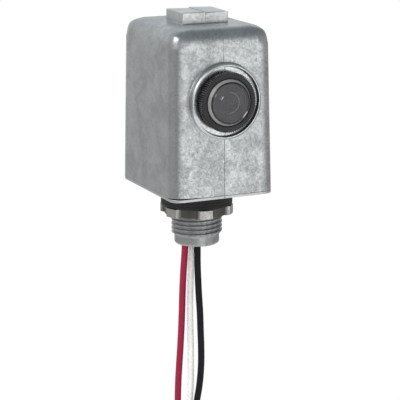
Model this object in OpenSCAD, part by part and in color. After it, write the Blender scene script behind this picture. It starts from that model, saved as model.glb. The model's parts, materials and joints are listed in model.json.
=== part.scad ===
// Photocell switch for a conduit box. A drafted cast housing carries a knurled light
// selector on its front. A cast base plate with a threaded stem closes it from below,
// with a rubber gasket and a lugged locknut on the stem and three leads out of its bore.
// Millimetres. The origin is on the stem's axis at the locknut's lower face. Z points up
// and the selector faces -Y.

/* [Housing] */
// Width at the bottom edge
housing_width = 44.7; // [44.2:0.1:48]
// Depth at the bottom edge
housing_depth = 54.4; // [52:0.1:60]
// Height of the top above the base plate's underside
housing_height = 68; // [66:0.5:78]
// Wall thickness of the casting
housing_wall = 2; // [1.8:0.1:2.2]
// Draft of each wall in degrees
housing_draft = 1.2; // [0.8:0.1:1.4]
// Radius of the upright corners
corner_radius = 4.2; // [3.8:0.1:5.2]
// Height of the rounding along the top edges
crown_height = 5.2; // [4:0.1:6]
// Open gap under the corner at the front left
corner_gap = 0.75; // [0.2:0.05:0.8]

/* [Top pad] */
// Width of the pad on top
pad_width = 20.1; // [14:0.1:24]
// Depth of the pad
pad_depth = 16.2; // [12:0.1:20]
// Height of the pad's left half
pad_height = 4.5; // [2:0.1:7]
// Extra height of the pad's right half at the parting line
pad_step = 0.1; // [0.05:0.05:0.6]
// How far the pad sits in front of the stem's axis
pad_forward = 1.2; // [0:0.1:3]

/* [Eye collar] */
// Height of the eye's axis above the base plate's underside
eye_height = 39.4; // [37:0.1:44]
// How far the collar's rim stands out from the front face
collar_proud = 2.9; // [2.4:0.1:3.4]
// Outer radius of the rim
rim_radius = 14.9; // [14.4:0.1:15.4]
// Width of the rim's flat edge
rim_width = 0.8; // [0.5:0.05:0.9]
// How much wider the collar is at its foot than at its rim
collar_flare = 0.3; // [0.1:0.1:1]
// Depth of the dish inside the rim
dish_depth = 1.95; // [1.4:0.05:2.1]
// Radius of the dish's floor
dish_radius = 13.75; // [12.9:0.05:13.9]

/* [Light selector] */
// Outer radius over the knurl
ring_radius = 11.8; // [11.2:0.05:12.2]
// How far the ring's front stands out from the front face
ring_proud = 5.05; // [4.6:0.05:6]
// Number of knurl teeth
ring_teeth = 96; // [72:4:108]
// Depth of the knurl
tooth_depth = 0.45; // [0.2:0.05:0.5]
// Radius of the sleeve that turns in the housing
sleeve_radius = 9.5; // [9.3:0.05:9.7]
// Radius of the light path through the sleeve
light_radius = 7.4; // [7:0.1:7.6]
// Radius of the lens at its foot
lens_radius = 9.1; // [8.7:0.05:9.2]
// How much the lens narrows to its face
lens_taper = 0.85; // [0.4:0.05:1.2]
// How far the lens stands out from the ring
lens_proud = 1.45; // [0.8:0.05:2]
// Radius of the half-round window in the mask
window_radius = 4.6; // [3.6:0.1:6]
// Turn of the selector between its stops in degrees
selector_turn = 180; // [90:10:270]

/* [Base plate and stem] */
// Height of the plate's visible edge
plate_edge = 1.2; // [1:0.1:2]
// Height of the plate's raised middle inside the housing
plate_rise = 1.3; // [1:0.1:2]
// Radius of the shoulder that the gasket seats on
shoulder_radius = 13.6; // [12.8:0.1:14.4]
// Height of the shoulder
shoulder_height = 1.3; // [0.8:0.1:2]
// Radius over the stem's thread
stem_radius = 10.5; // [10.3:0.05:10.7]
// Depth of the plain neck under the gasket and the nut
neck_relief = 0.2; // [0.1:0.05:0.4]
// Length of thread below the nut
thread_length = 9.1; // [7:0.1:14]
// Radius of the plain end below the thread
pilot_radius = 9.3; // [8.8:0.1:9.6]
// Length of the plain end
pilot_length = 3.8; // [2:0.1:5]
// Radius of the stem's bore
stem_bore = 7.5; // [7.4:0.1:7.8]

/* [Gasket and locknut] */
// Radius of the rubber gasket
gasket_radius = 14.8; // [14:0.1:16]
// Thickness of the rubber gasket
gasket_thickness = 6.35; // [4:0.05:8]
// Thickness of the locknut
nut_thickness = 3.65; // [3:0.05:5]
// Radius between the nut's lugs
nut_radius = 13.4; // [12.8:0.1:14]
// Radius over the nut's lugs
lug_radius = 15.1; // [14.6:0.1:16]
// Width of each lug
lug_width = 6.2; // [5:0.1:8]
// Number of lugs
lug_count = 6; // [4:1:8]
// Turn of the nut on the stem in degrees
nut_turn = 20.2; // [0:0.1:60]

/* [Circuit board] */
// Height of the board
board_height = 52; // [51:0.5:54]
// Thickness of the board
board_thickness = 1.6; // [1:0.2:2]
// How far the board's back face is in front of the stem's axis
board_forward = 7; // [7:0.1:7.6]
// Radius of the light cell
cell_radius = 2.55; // [2:0.05:3]
// Sideways offset of the light cell from the eye's axis
cell_offset = 2.4; // [2:0.1:3]

/* [Leads] */
// Diameter of each lead over its insulation
lead_diameter = 2.8; // [2.2:0.1:2.8]
// Diameter of the bare strands
strand_diameter = 1.6; // [1:0.1:1.7]
// Length of the stripped ends
strip_length = 9; // [6:0.5:14]

/* [Hidden] */
// Clearance of a part that turns in a bore
running_gap = 0.05;
// Clearance of a part that is dropped into place
loose_gap = 0.15;
// Thickness of a cut that reaches past a face
past = 1;
// Facets round a rounded corner of the housing
corner_facets = 40;
// Sides of a lead
lead_sides = 8;

// Heights up the stem's axis
gasket_z = nut_thickness;
shoulder_z = gasket_z + gasket_thickness;
plate_z = shoulder_z + shoulder_height;
rim_z = plate_z + plate_edge;
rise_z = rim_z + plate_rise;
top_z = plate_z + housing_height;
eye_z = plate_z + eye_height;
thread_end_z = -thread_length;
stem_end_z = thread_end_z - pilot_length;

// Half width and half depth of the drafted housing at a height
function half_width(z) = housing_width / 2 - (z - rim_z) * tan(housing_draft);
function half_depth(z) = housing_depth / 2 - (z - rim_z) * tan(housing_draft);

// Housing details
inner_radius = corner_radius - housing_wall;
boss_radius = 3.2;
boss_height = 11;
boss_sink = 0.6;
boss_inset = housing_wall + boss_radius - boss_sink;
screw_x = half_width(rim_z) - boss_inset;
screw_y = half_depth(rim_z) - boss_inset;
screw_places = [[screw_x, -screw_y], [-screw_x, screw_y]];
gap_run = [16, 8];
pad_root = 1;

// Base plate details
seal_width = 0.9;
seal_height = 0.8;
mouth_radius = 10.9;
mouth_depth = 6.6;
edge_chamfer = 0.7;
thread_chamfer = 0.5;
neck_radius = stem_radius - neck_relief;
post_width = 5;
post_height = 6;
post_wall = 1.5;
post_x = 13;

// Screws under the plate
screw_radius = 1.45;
screw_head_radius = 2.7;
screw_head_height = screw_head_radius - screw_radius;
screw_length = 9.5;
slot_width = 0.8;
slot_depth = 0.7;

// Eye and selector, measured outward from the front face
eye_y = -half_depth(eye_z);
dish_z = collar_proud - dish_depth;
spot_rise = 0.8;
spot_depth = housing_wall + spot_rise;
spot_radius = 14.2;
collar_root = housing_wall / 2;
selector_bore = sleeve_radius + running_gap;
seal_thickness = 0.6;
seal_outer = 10.9;
seal_bore_gap = 0.3;
seal_play = 0.1;
ring_back = dish_z + seal_thickness + seal_play;
ring_chamfer = 0.35;
mask_thickness = 0.6;
lens_sink = 1.85;
lens_seat = ring_proud - lens_sink;
mask_seat = lens_seat - mask_thickness;
lens_side = 1.7;
lens_edge = lens_seat + lens_side;
lens_face = ring_proud + lens_proud;
lens_round = 0.2;
gland_width = 0.4;
gland_depth = 0.85;
clip_thickness = 0.8;
clip_outer = 11.3;
clip_groove = 8.8;
clip_opening = 9;
clip_play = 0.2;
clip_front = -spot_depth - clip_play;
clip_back = clip_front - clip_thickness;
sleeve_tail = 1.2;
sleeve_back = clip_back - sleeve_tail;
stop_circle = 12.6;
stop_radius = 1.2;
stop_height = 1.6;
stop_margin = 12.5;
tab_width = 2.4;
tab_reach = 13.4;

// Board and its parts. Places are sideways and up from the middle of the board's foot.
board_back = -board_forward;
board_front = board_back - board_thickness;
board_z = rise_z;
board_top = board_z + board_height;
board_side_gap = 0.7;
board_half = half_width(board_top) - housing_wall - board_side_gap;
guide_reach = 2.2;
guide_wall = 1.5;
guide_start = 9;
cell_height = eye_z - board_z;
cell_thickness = 2.1;
cell_clearance = 0.8;
cell_front = eye_y - sleeve_back + cell_clearance;
cell_back = cell_front + cell_thickness;
cell_leg_gap = 1.3;
spacer_radius = 3.3;
leg_radius = 0.4;
leg_hole = 0.5;
leg_lift = 1;
joint_radius = 0.95;
joint_height = 0.8;
lead_joint_radius = 1.9;
part_gap = 0.5;
part_edge = board_half - guide_reach - part_gap;
relay_size = [10.2, 20.5, 15.7];
relay_row = 40;
relay_place = [relay_size[0] / 2 - part_edge, relay_row];
relay_legs = [[-3.5, -7.6], [3.5, -7.6], [-3.5, 7.6], [3.5, 7.6]];
mains_size = [8.4, 18, 14];
mains_row = relay_row;
mains_place = [part_edge - mains_size[0] / 2, mains_row];
mains_legs = [[0, -7.5], [0, 7.5]];
can_radius = 4;
can_height = 12;
can_row = 22;
can_place = [can_radius + part_gap - part_edge, can_row];
can_legs = [[-1.75, 0], [1.75, 0]];
varistor_row = 20.5;
varistor_place = [0, varistor_row];
varistor_radius = 7;
varistor_thickness = 4.6;
varistor_legs = [[0, -3.75], [0, 3.75]];
resistor_radius = 2;
resistor_length = 11;
resistor_legs = [[0, -7.5], [0, 7.5]];
resistor_row = 21;
bleed_place = [part_edge - resistor_radius - part_gap, resistor_row];
dropper_place = bleed_place - [2 * resistor_radius + 2 * part_gap, 0];
diode_radius = 1.35;
diode_length = 5.2;
diode_legs = [[-4, 0], [4, 0]];
diode_reach = diode_legs[1][0] + joint_radius + part_gap;
rectifier_row = 9.6;
rectifier_place = [part_edge - diode_reach, rectifier_row];
zener_row = 8.4;
zener_place = [diode_reach - part_edge, zener_row];
coil_diode_row = 13.2;
coil_diode_place = [diode_reach - part_edge, coil_diode_row];
transistor_row = 10;
transistor_place = [0, transistor_row];
transistor_radius = 2.4;
transistor_height = 4.8;
transistor_lift = 2.6;
transistor_legs = [[-1.27, 0], [0, 0], [1.27, 0]];
cell_legs = [[cell_offset - cell_leg_gap, cell_height], [cell_offset + cell_leg_gap, cell_height]];

// Every leg that is soldered on the board's front face
function moved(place, offsets) = [for (o = offsets) place + o];
rear_legs = concat(
    moved(relay_place, relay_legs),
    moved(mains_place, mains_legs),
    moved(can_place, can_legs),
    moved(varistor_place, varistor_legs),
    [for (p = [dropper_place, bleed_place]) each moved(p, resistor_legs)],
    [for (p = [rectifier_place, zener_place, coil_diode_place]) each moved(p, diode_legs)],
    moved(transistor_place, transistor_legs)
);

// Routes of the leads from their solder joints to their stripped ends
red_route = [
    [-6.2, -5.5, 16.6], [-6.2, -5.5, 14.2], [-5.8, -3.8, 10.4], [-5.4, -1.6, 7.2], [-5, 0.2, 4.2],
    [-4.9, 0.9, 1], [-4.9, 0.9, -11.4], [-5, 1, -16], [-5.4, 1.1, -22], [-5.8, 1.3, -29],
    [-6.1, 1.4, -36], [-6.3, 1.5, -43], [-6.6, 1.7, -51], [-7, 1.9, -59], [-7.5, 2.1, -67],
    [-7.9, 2.3, -75], [-8.1, 2.4, -83], [-8, 2.4, -92], [-7.8, 2.3, -101], [-7.5, 2.1, -111],
    [-7.1, 1.9, -121], [-6.8, 1.8, -131], [-6.6, 1.7, -142], [-6.5, 1.6, -153], [-6.5, 1.6, -163]
];
white_route = [
    [-1.6, -5.5, 16.6], [-1.6, -5.5, 14.2], [-1.5, -3, 10.4], [-1.4, -0.6, 7.2], [-1.2, 1.4, 4.2],
    [-1.2, 2.3, 1], [-1.2, 2.3, -11.4], [-1.3, 2.3, -16], [-1.6, 2.5, -22], [-1.8, 2.6, -29],
    [-2, 2.7, -36], [-2.1, 2.7, -43], [-2, 2.7, -51], [-1.9, 2.6, -59], [-1.9, 2.6, -67],
    [-2, 2.6, -75], [-2.3, 2.8, -83], [-2.7, 3, -92], [-3, 3.1, -101], [-3.1, 3.2, -111],
    [-3.1, 3.2, -121], [-2.9, 3.1, -131], [-2.7, 3, -142], [-2.5, 2.9, -153], [-2.5, 2.9, -165]
];
black_route = [
    [3, -5.5, 16.6], [3, -5.5, 14.2], [2.2, -4.5, 10.4], [1, -3.2, 7.2], [-0.2, -2.1, 4.2],
    [-0.5, -1.7, 1], [-0.5, -1.7, -11.4], [-0.5, -1.7, -16], [-0.5, -1.7, -22], [-0.3, -1.8, -29],
    [0, -1.9, -36], [0.4, -2, -43], [0.6, -2.1, -51], [0.8, -2.2, -59], [0.7, -2.2, -67],
    [0.1, -1.9, -75], [-1, -1.4, -83], [-1.7, -1.1, -92], [-2.1, -0.9, -101], [-1.9, -1, -111],
    [-1.4, -1.3, -121], [-0.8, -1.5, -131], [-0.3, -1.8, -142], [-0.1, -1.8, -153], [-0.1, -1.8, -161]
];
lead_routes = [red_route, white_route, black_route];
bush_start = 5;
bush_bottom = -11.4;
bush_top = 1;
strand_radius = strand_diameter / 2;

// Sweep of a lead along its route
function unit(v) = v / norm(v);
function heading(route, i) =
    unit(route[min(i + 1, len(route) - 1)] - route[max(i - 1, 0)]);
function ring_at(route, i, radius) =
    let (ahead = heading(route, i))
    let (side = unit(cross(ahead, [0, 1, 0])))
    let (other = cross(ahead, side))
    [for (k = [0 : lead_sides - 1])
        let (turn = 360 * k / lead_sides)
        route[i] + radius * (cos(turn) * side + sin(turn) * other)];
function tube_points(route, radius) =
    [for (i = [0 : len(route) - 1]) each ring_at(route, i, radius)];
function tube_faces(rings) = concat(
    [[for (k = [0 : lead_sides - 1]) k]],
    [for (i = [0 : rings - 2]) for (k = [0 : lead_sides - 1])
        let (next = (k + 1) % lead_sides)
        [i * lead_sides + k, (i + 1) * lead_sides + k, i * lead_sides + next]],
    [for (i = [0 : rings - 2]) for (k = [0 : lead_sides - 1])
        let (next = (k + 1) % lead_sides)
        [i * lead_sides + next, (i + 1) * lead_sides + k, (i + 1) * lead_sides + next]],
    [[for (k = [lead_sides - 1 : -1 : 0]) (rings - 1) * lead_sides + k]]
);

// Outline of the knurl
function knurl_points(radius, teeth, depth) =
    [for (k = [0 : 2 * teeth - 1])
        let (turn = 180 * k / teeth)
        let (reach = k % 2 == 0 ? radius : radius - depth)
        [reach * cos(turn), reach * sin(turn)]];

$fn = 64;

// Puts children on the eye's axis, with z outward from the front face
module on_eye() {
    translate([0, eye_y, eye_z]) rotate([90, 0, 0]) children();
}

// Puts children on the board's back face, with z away from the board
module behind_board(place) {
    translate([place[0], board_back, board_z + place[1]]) rotate([-90, 0, 0]) children();
}

// Puts children on the board's front face, with z away from the board
module before_board(place) {
    translate([place[0], board_front, board_z + place[1]]) rotate([90, 0, 0]) children();
}

// A block with round upright corners, standing on z = 0
module rounded_block(width, depth, radius, height) {
    translate([-width / 2 + radius, -depth / 2, 0]) cube([width - 2 * radius, depth, height]);
    translate([-width / 2, -depth / 2 + radius, 0]) cube([width, depth - 2 * radius, height]);
    for (sx = [-1, 1], sy = [-1, 1])
        translate([sx * (width / 2 - radius), sy * (depth / 2 - radius), 0])
            cylinder(r = radius, h = height);
}

// A frame between two rounded outlines that share their corner centres
module rounded_frame(width, depth, radius, thickness, height) {
    difference() {
        rounded_block(width, depth, radius, height);
        translate([0, 0, -past])
            rounded_block(width - 2 * thickness, depth - 2 * thickness, radius - thickness,
                height + 2 * past);
    }
}

// The drafted form with a crowned top, set in by a wall's thickness and reaching down to a height
module drafted_form(inset, bottom, radius, crown) {
    shoulder = top_z - inset - crown;
    slice = 0.01;
    hull()
        for (sx = [-1, 1], sy = [-1, 1]) {
            translate([
                sx * (half_width(bottom) - inset - radius),
                sy * (half_depth(bottom) - inset - radius),
                bottom
            ])
                cylinder(r = radius, h = slice, $fn = corner_facets);
            translate([
                sx * (half_width(shoulder) - inset - radius),
                sy * (half_depth(shoulder) - inset - radius),
                shoulder
            ])
                scale([1, 1, crown / radius]) sphere(r = radius, $fn = corner_facets);
        }
}

// Legs of a part on the board's back, down to the board's front face
module board_legs(offsets, rise) {
    for (o = offsets)
        translate([o[0], -o[1], -board_thickness])
            cylinder(r = leg_radius, h = board_thickness + rise);
}

// Two ribs on a side wall that the board's edge slides between
module board_guide() {
    low = board_z + guide_start;
    inner = board_half - guide_reach;
    for (face = [board_back + loose_gap, board_front - loose_gap - guide_wall])
        translate([0, face + guide_wall, 0]) rotate([90, 0, 0]) linear_extrude(guide_wall)
            polygon([
                [inner, low],
                [half_width(low) - housing_wall / 2, low],
                [half_width(board_top) - housing_wall / 2, board_top],
                [inner, board_top]
            ]);
}

// Collar round the eye, from inside the wall out to its rim
module collar() {
    on_eye() rotate_extrude()
        polygon([
            [0, -collar_root],
            [rim_radius + collar_flare, -collar_root],
            [rim_radius + collar_flare, 0],
            [rim_radius, collar_proud],
            [rim_radius - rim_width, collar_proud],
            [dish_radius, dish_z],
            [0, dish_z]
        ]);
}

// Flat inside the wall for the selector's clip, with the two posts that stop its turn
module clip_seat() {
    on_eye() {
        translate([0, 0, -spot_depth]) cylinder(r = spot_radius, h = spot_depth - collar_root);
        for (turn = [-stop_margin, selector_turn + stop_margin])
            rotate([0, 0, turn]) translate([stop_circle, 0, -spot_depth - stop_height])
                cylinder(r = stop_radius, h = stop_height + past / 2);
    }
}

module housing() {
    color([0.62, 0.62, 0.61])
        difference() {
            union() {
                difference() {
                    drafted_form(0, rim_z, corner_radius, crown_height);
                    drafted_form(housing_wall, rim_z - past, inner_radius, crown_height - housing_wall);
                }
                collar();
                clip_seat();
                translate([-pad_width / 2, -pad_forward - pad_depth / 2, top_z - pad_root])
                    cube([pad_width / 2, pad_depth, pad_root + pad_height]);
                translate([0, -pad_forward - pad_depth / 2, top_z - pad_root])
                    cube([pad_width / 2, pad_depth, pad_root + pad_height + pad_step]);
                for (p = screw_places)
                    translate([p[0], p[1], rise_z]) cylinder(r = boss_radius, h = boss_height);
                board_guide();
                mirror([1, 0, 0]) board_guide();
            }
            on_eye() translate([0, 0, -spot_depth - past])
                cylinder(r = selector_bore, h = spot_depth + collar_proud + 2 * past);
            translate([0, 0, rim_z - past])
                rounded_block(
                    housing_width - 2 * housing_wall + 2 * seal_width,
                    housing_depth - 2 * housing_wall + 2 * seal_width,
                    inner_radius + seal_width,
                    past + seal_height
                );
            for (p = screw_places)
                translate([p[0], p[1], rise_z - past])
                    cylinder(r = screw_radius + running_gap, h = past + screw_length);
            // the open corner: a wedge that fades out along the front and along the left side
            polyhedron(
                points = [
                    [-housing_width / 2 - past, -housing_depth / 2 - past, rim_z - past],
                    [-housing_width / 2 + gap_run[0], -housing_depth / 2 - past, rim_z - past],
                    [-housing_width / 2 - past, -housing_depth / 2 + gap_run[1], rim_z - past],
                    [-housing_width / 2 - past, -housing_depth / 2 - past, rim_z + corner_gap],
                    [-housing_width / 2 + gap_run[0], -housing_depth / 2 - past, rim_z],
                    [-housing_width / 2 - past, -housing_depth / 2 + gap_run[1], rim_z]
                ],
                faces = [[0, 1, 2], [3, 5, 4], [0, 3, 4], [0, 4, 1], [1, 4, 5], [1, 5, 2], [2, 5, 3], [2, 3, 0]]
            );
        }
}

module base_plate() {
    color([0.55, 0.55, 0.54])
        difference() {
            union() {
                translate([0, 0, plate_z])
                    rounded_block(housing_width, housing_depth, corner_radius, plate_edge);
                translate([0, 0, plate_z])
                    rounded_block(
                        housing_width - 2 * housing_wall - 2 * loose_gap,
                        housing_depth - 2 * housing_wall - 2 * loose_gap,
                        inner_radius,
                        plate_edge + plate_rise
                    );
                rotate_extrude()
                    polygon([
                        [0, rim_z],
                        [0, stem_end_z],
                        [pilot_radius - edge_chamfer, stem_end_z],
                        [pilot_radius, stem_end_z + edge_chamfer],
                        [pilot_radius, thread_end_z - thread_chamfer],
                        [stem_radius, thread_end_z],
                        [stem_radius, 0],
                        [neck_radius, 0],
                        [neck_radius, shoulder_z],
                        [shoulder_radius, shoulder_z],
                        [shoulder_radius, rim_z]
                    ]);
                for (side = [-1, 1])
                    translate([
                        side * post_x - post_width / 2,
                        board_front - loose_gap - post_wall,
                        rise_z
                    ])
                        cube([post_width, board_thickness + 2 * loose_gap + 2 * post_wall, post_height]);
            }
            rotate_extrude()
                polygon([
                    [0, stem_end_z - past],
                    [stem_bore, stem_end_z - past],
                    [stem_bore, rise_z - mouth_depth],
                    [mouth_radius, rise_z],
                    [mouth_radius, rise_z + past],
                    [0, rise_z + past]
                ]);
            for (side = [-1, 1])
                translate([side * post_x - post_width / 2 - past, board_front - loose_gap, rise_z])
                    cube([post_width + 2 * past, board_thickness + 2 * loose_gap, post_height + past]);
            for (p = screw_places)
                translate([p[0], p[1], plate_z]) {
                    translate([0, 0, -past])
                        cylinder(r = screw_radius + loose_gap, h = plate_edge + plate_rise + 2 * past);
                    rotate_extrude()
                        polygon([
                            [0, -past],
                            [screw_head_radius + running_gap, -past],
                            [screw_head_radius + running_gap, 0],
                            [screw_radius + running_gap, screw_head_height],
                            [0, screw_head_height]
                        ]);
                }
        }
}

module base_seal() {
    color([0.08, 0.08, 0.08])
        translate([0, 0, rim_z])
            rounded_frame(
                housing_width - 2 * housing_wall + 2 * seal_width - 2 * running_gap,
                housing_depth - 2 * housing_wall + 2 * seal_width - 2 * running_gap,
                inner_radius + seal_width - running_gap,
                seal_width,
                seal_height - running_gap
            );
}

module base_screws() {
    color([0.7, 0.7, 0.68])
        for (p = screw_places)
            translate([p[0], p[1], plate_z])
                difference() {
                    union() {
                        cylinder(r1 = screw_head_radius, r2 = screw_radius, h = screw_head_height);
                        cylinder(r = screw_radius, h = screw_length);
                    }
                    translate([-screw_head_radius - past, -slot_width / 2, -past])
                        cube([2 * screw_head_radius + 2 * past, slot_width, past + slot_depth]);
                }
}

module stem_gasket() {
    color([0.07, 0.07, 0.07])
        translate([0, 0, gasket_z])
            difference() {
                cylinder(r = gasket_radius, h = gasket_thickness);
                translate([0, 0, -past])
                    cylinder(r = neck_radius + running_gap, h = gasket_thickness + 2 * past);
            }
}

module locknut() {
    color([0.6, 0.6, 0.58])
        difference() {
            union() {
                cylinder(r = nut_radius, h = nut_thickness);
                intersection() {
                    cylinder(r = lug_radius, h = nut_thickness);
                    for (k = [0 : lug_count - 1])
                        rotate([0, 0, nut_turn + 360 * k / lug_count])
                            translate([neck_radius + 1, -lug_width / 2, 0])
                                cube([lug_radius, lug_width, nut_thickness]);
                }
            }
            translate([0, 0, -past])
                cylinder(r = neck_radius + running_gap, h = nut_thickness + 2 * past);
        }
}

module selector_ring() {
    color([0.06, 0.06, 0.06])
        on_eye()
            difference() {
                union() {
                    intersection() {
                        translate([0, 0, ring_back]) linear_extrude(ring_proud - ring_back)
                            polygon(knurl_points(ring_radius, ring_teeth, tooth_depth));
                        rotate_extrude()
                            polygon([
                                [0, ring_back],
                                [ring_radius + past, ring_back],
                                [ring_radius + past, ring_proud - ring_chamfer - past],
                                [ring_radius - ring_chamfer, ring_proud],
                                [0, ring_proud]
                            ]);
                    }
                    rotate_extrude()
                        polygon([
                            [0, sleeve_back],
                            [sleeve_radius, sleeve_back],
                            [sleeve_radius, clip_back],
                            [clip_groove, clip_back],
                            [clip_groove, clip_front],
                            [sleeve_radius, clip_front],
                            [sleeve_radius, ring_back + past / 2],
                            [0, ring_back + past / 2]
                        ]);
                }
                rotate_extrude()
                    polygon([
                        [0, sleeve_back - past],
                        [light_radius, sleeve_back - past],
                        [light_radius, mask_seat],
                        [lens_radius + running_gap, mask_seat],
                        [lens_radius + running_gap, ring_proud - gland_depth],
                        [lens_radius + gland_width, ring_proud - gland_depth],
                        [lens_radius + gland_width, ring_proud + past],
                        [0, ring_proud + past]
                    ]);
            }
}

module lens() {
    color([0.3, 0.31, 0.32])
        on_eye() rotate_extrude()
            polygon([
                [0, lens_seat],
                [lens_radius, lens_seat],
                [lens_radius, lens_edge],
                [lens_radius - lens_taper + lens_round, lens_face - lens_round],
                [lens_radius - lens_taper, lens_face],
                [0, lens_face]
            ]);
}

module light_mask() {
    color([0.1, 0.1, 0.1])
        on_eye()
            difference() {
                translate([0, 0, mask_seat]) cylinder(r = lens_radius, h = mask_thickness);
                intersection() {
                    translate([0, 0, mask_seat - past])
                        cylinder(r = window_radius, h = mask_thickness + 2 * past);
                    translate([0, -window_radius - past, mask_seat - 2 * past])
                        cube([window_radius + past, 2 * window_radius + 2 * past,
                            mask_thickness + 4 * past]);
                }
            }
}

module selector_clip() {
    color([0.68, 0.66, 0.6])
        on_eye() translate([0, 0, clip_back])
            difference() {
                union() {
                    cylinder(r = clip_outer, h = clip_thickness);
                    translate([0, -tab_width / 2, 0]) cube([tab_reach, tab_width, clip_thickness]);
                }
                translate([0, 0, -past])
                    cylinder(r = clip_groove + running_gap, h = clip_thickness + 2 * past);
                translate([-clip_outer - past, -clip_opening / 2, -past])
                    cube([clip_outer, clip_opening, clip_thickness + 2 * past]);
            }
}

module selector_seal() {
    color([0.05, 0.05, 0.05])
        on_eye() translate([0, 0, dish_z])
            difference() {
                cylinder(r = seal_outer, h = seal_thickness);
                translate([0, 0, -past])
                    cylinder(r = selector_bore + seal_bore_gap, h = seal_thickness + 2 * past);
            }
}

module circuit_board() {
    color([0.12, 0.36, 0.2])
        difference() {
            translate([-board_half, board_front, board_z])
                cube([2 * board_half, board_thickness, board_height]);
            for (place = concat(rear_legs, cell_legs))
                behind_board(place) translate([0, 0, -board_thickness - past])
                    cylinder(r = leg_hole, h = board_thickness + 2 * past);
        }
}

module photocell() {
    color([0.78, 0.66, 0.4]) {
        translate([cell_offset, cell_back, eye_z]) rotate([90, 0, 0])
            cylinder(r = cell_radius, h = cell_thickness);
        for (place = cell_legs)
            translate([place[0], cell_back, eye_z]) rotate([-90, 0, 0])
                cylinder(r = leg_radius, h = board_back - cell_back);
    }
}

module cell_spacer() {
    color([0.12, 0.12, 0.12])
        difference() {
            translate([cell_offset, board_front, eye_z]) rotate([90, 0, 0])
                cylinder(r = spacer_radius, h = board_front - cell_back);
            for (place = cell_legs)
                before_board(place) translate([0, 0, -past])
                    cylinder(r = leg_hole, h = board_front - cell_back + 2 * past);
        }
}

module relay() {
    color([0.1, 0.16, 0.34])
        behind_board(relay_place) {
            translate([-relay_size[0] / 2, -relay_size[1] / 2, 0]) cube(relay_size);
            board_legs(relay_legs, leg_lift);
        }
}

module mains_capacitor() {
    color([0.72, 0.6, 0.12])
        behind_board(mains_place) {
            translate([-mains_size[0] / 2, -mains_size[1] / 2, 0]) cube(mains_size);
            board_legs(mains_legs, leg_lift);
        }
}

module smoothing_capacitor() {
    color([0.1, 0.11, 0.16])
        behind_board(can_place) {
            cylinder(r = can_radius, h = can_height);
            board_legs(can_legs, leg_lift);
        }
}

module varistor() {
    color([0.1, 0.3, 0.55])
        behind_board(varistor_place) {
            translate([-varistor_thickness / 2, 0, varistor_radius + leg_lift]) rotate([0, 90, 0])
                cylinder(r = varistor_radius, h = varistor_thickness);
            board_legs(varistor_legs, varistor_radius);
        }
}

// A wire-ended resistor that lies up the board
module resistor(place) {
    behind_board(place) {
        translate([0, resistor_length / 2, resistor_radius]) rotate([90, 0, 0])
            cylinder(r = resistor_radius, h = resistor_length);
        translate([0, resistor_legs[1][1] + leg_radius, resistor_radius]) rotate([90, 0, 0])
            cylinder(r = leg_radius, h = 2 * (resistor_legs[1][1] + leg_radius));
        board_legs(resistor_legs, resistor_radius);
    }
}

module dropper_resistor() {
    color([0.62, 0.54, 0.42]) resistor(dropper_place);
}

module bleed_resistor() {
    color([0.62, 0.54, 0.42]) resistor(bleed_place);
}

// A wire-ended diode that lies across the board
module diode(place) {
    behind_board(place) {
        translate([-diode_length / 2, 0, diode_radius]) rotate([0, 90, 0])
            cylinder(r = diode_radius, h = diode_length);
        translate([-diode_legs[1][0] - leg_radius, 0, diode_radius]) rotate([0, 90, 0])
            cylinder(r = leg_radius, h = 2 * (diode_legs[1][0] + leg_radius));
        board_legs(diode_legs, diode_radius);
    }
}

module rectifier_diode() {
    color([0.14, 0.14, 0.14]) diode(rectifier_place);
}

module zener_diode() {
    color([0.14, 0.14, 0.14]) diode(zener_place);
}

module coil_diode() {
    color([0.14, 0.14, 0.14]) diode(coil_diode_place);
}

module transistor() {
    color([0.12, 0.12, 0.12])
        behind_board(transistor_place) {
            translate([0, 0, transistor_lift])
                difference() {
                    cylinder(r = transistor_radius, h = transistor_height);
                    translate([-transistor_radius - past, transistor_radius / 2, -past])
                        cube([2 * transistor_radius + 2 * past, transistor_radius,
                            transistor_height + 2 * past]);
                }
            board_legs(transistor_legs, transistor_lift + leg_lift);
        }
}

module solder_joints() {
    color([0.72, 0.72, 0.74]) {
        for (place = rear_legs)
            before_board(place) cylinder(r1 = joint_radius, r2 = joint_radius / 2, h = joint_height);
        for (place = cell_legs)
            behind_board(place) cylinder(r1 = joint_radius, r2 = joint_radius / 2, h = joint_height);
    }
}

module lead_joints() {
    across = 4 * lead_joint_radius;
    color([0.72, 0.72, 0.74])
        for (route = lead_routes)
            difference() {
                union() {
                    translate(route[0]) cylinder(r = strand_radius, h = 2 * lead_joint_radius);
                    translate([route[0][0], board_back, route[0][2] + lead_joint_radius])
                        sphere(r = lead_joint_radius);
                }
                // trimmed flat on the board and square above the insulation
                translate([route[0][0] - across / 2, board_back - across, route[0][2] - across])
                    cube([across, across, 3 * across]);
                translate([route[0][0] - across / 2, board_back - across, route[0][2] - across])
                    cube([across, 3 * across, across]);
            }
}

module lead_bush() {
    color([0.16, 0.15, 0.14])
        difference() {
            translate([0, 0, bush_bottom]) cylinder(r = stem_bore - running_gap, h = bush_top - bush_bottom);
            for (route = lead_routes)
                translate([route[bush_start][0], route[bush_start][1], bush_bottom - past])
                    cylinder(r = lead_diameter / 2 + running_gap, h = bush_top - bush_bottom + 2 * past);
        }
}

// One lead's insulation
module lead(route) {
    polyhedron(points = tube_points(route, lead_diameter / 2), faces = tube_faces(len(route)));
}

// The bare strands below a lead's insulation
module strands(route) {
    last = route[len(route) - 1];
    translate([last[0], last[1], last[2] - strip_length]) cylinder(r = strand_radius, h = strip_length);
}

module red_lead() {
    color([0.6, 0.12, 0.2]) lead(red_route);
}

module white_lead() {
    color([0.85, 0.84, 0.82]) lead(white_route);
}

module black_lead() {
    color([0.06, 0.06, 0.06]) lead(black_route);
}

module red_strands() {
    color([0.72, 0.45, 0.3]) strands(red_route);
}

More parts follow.
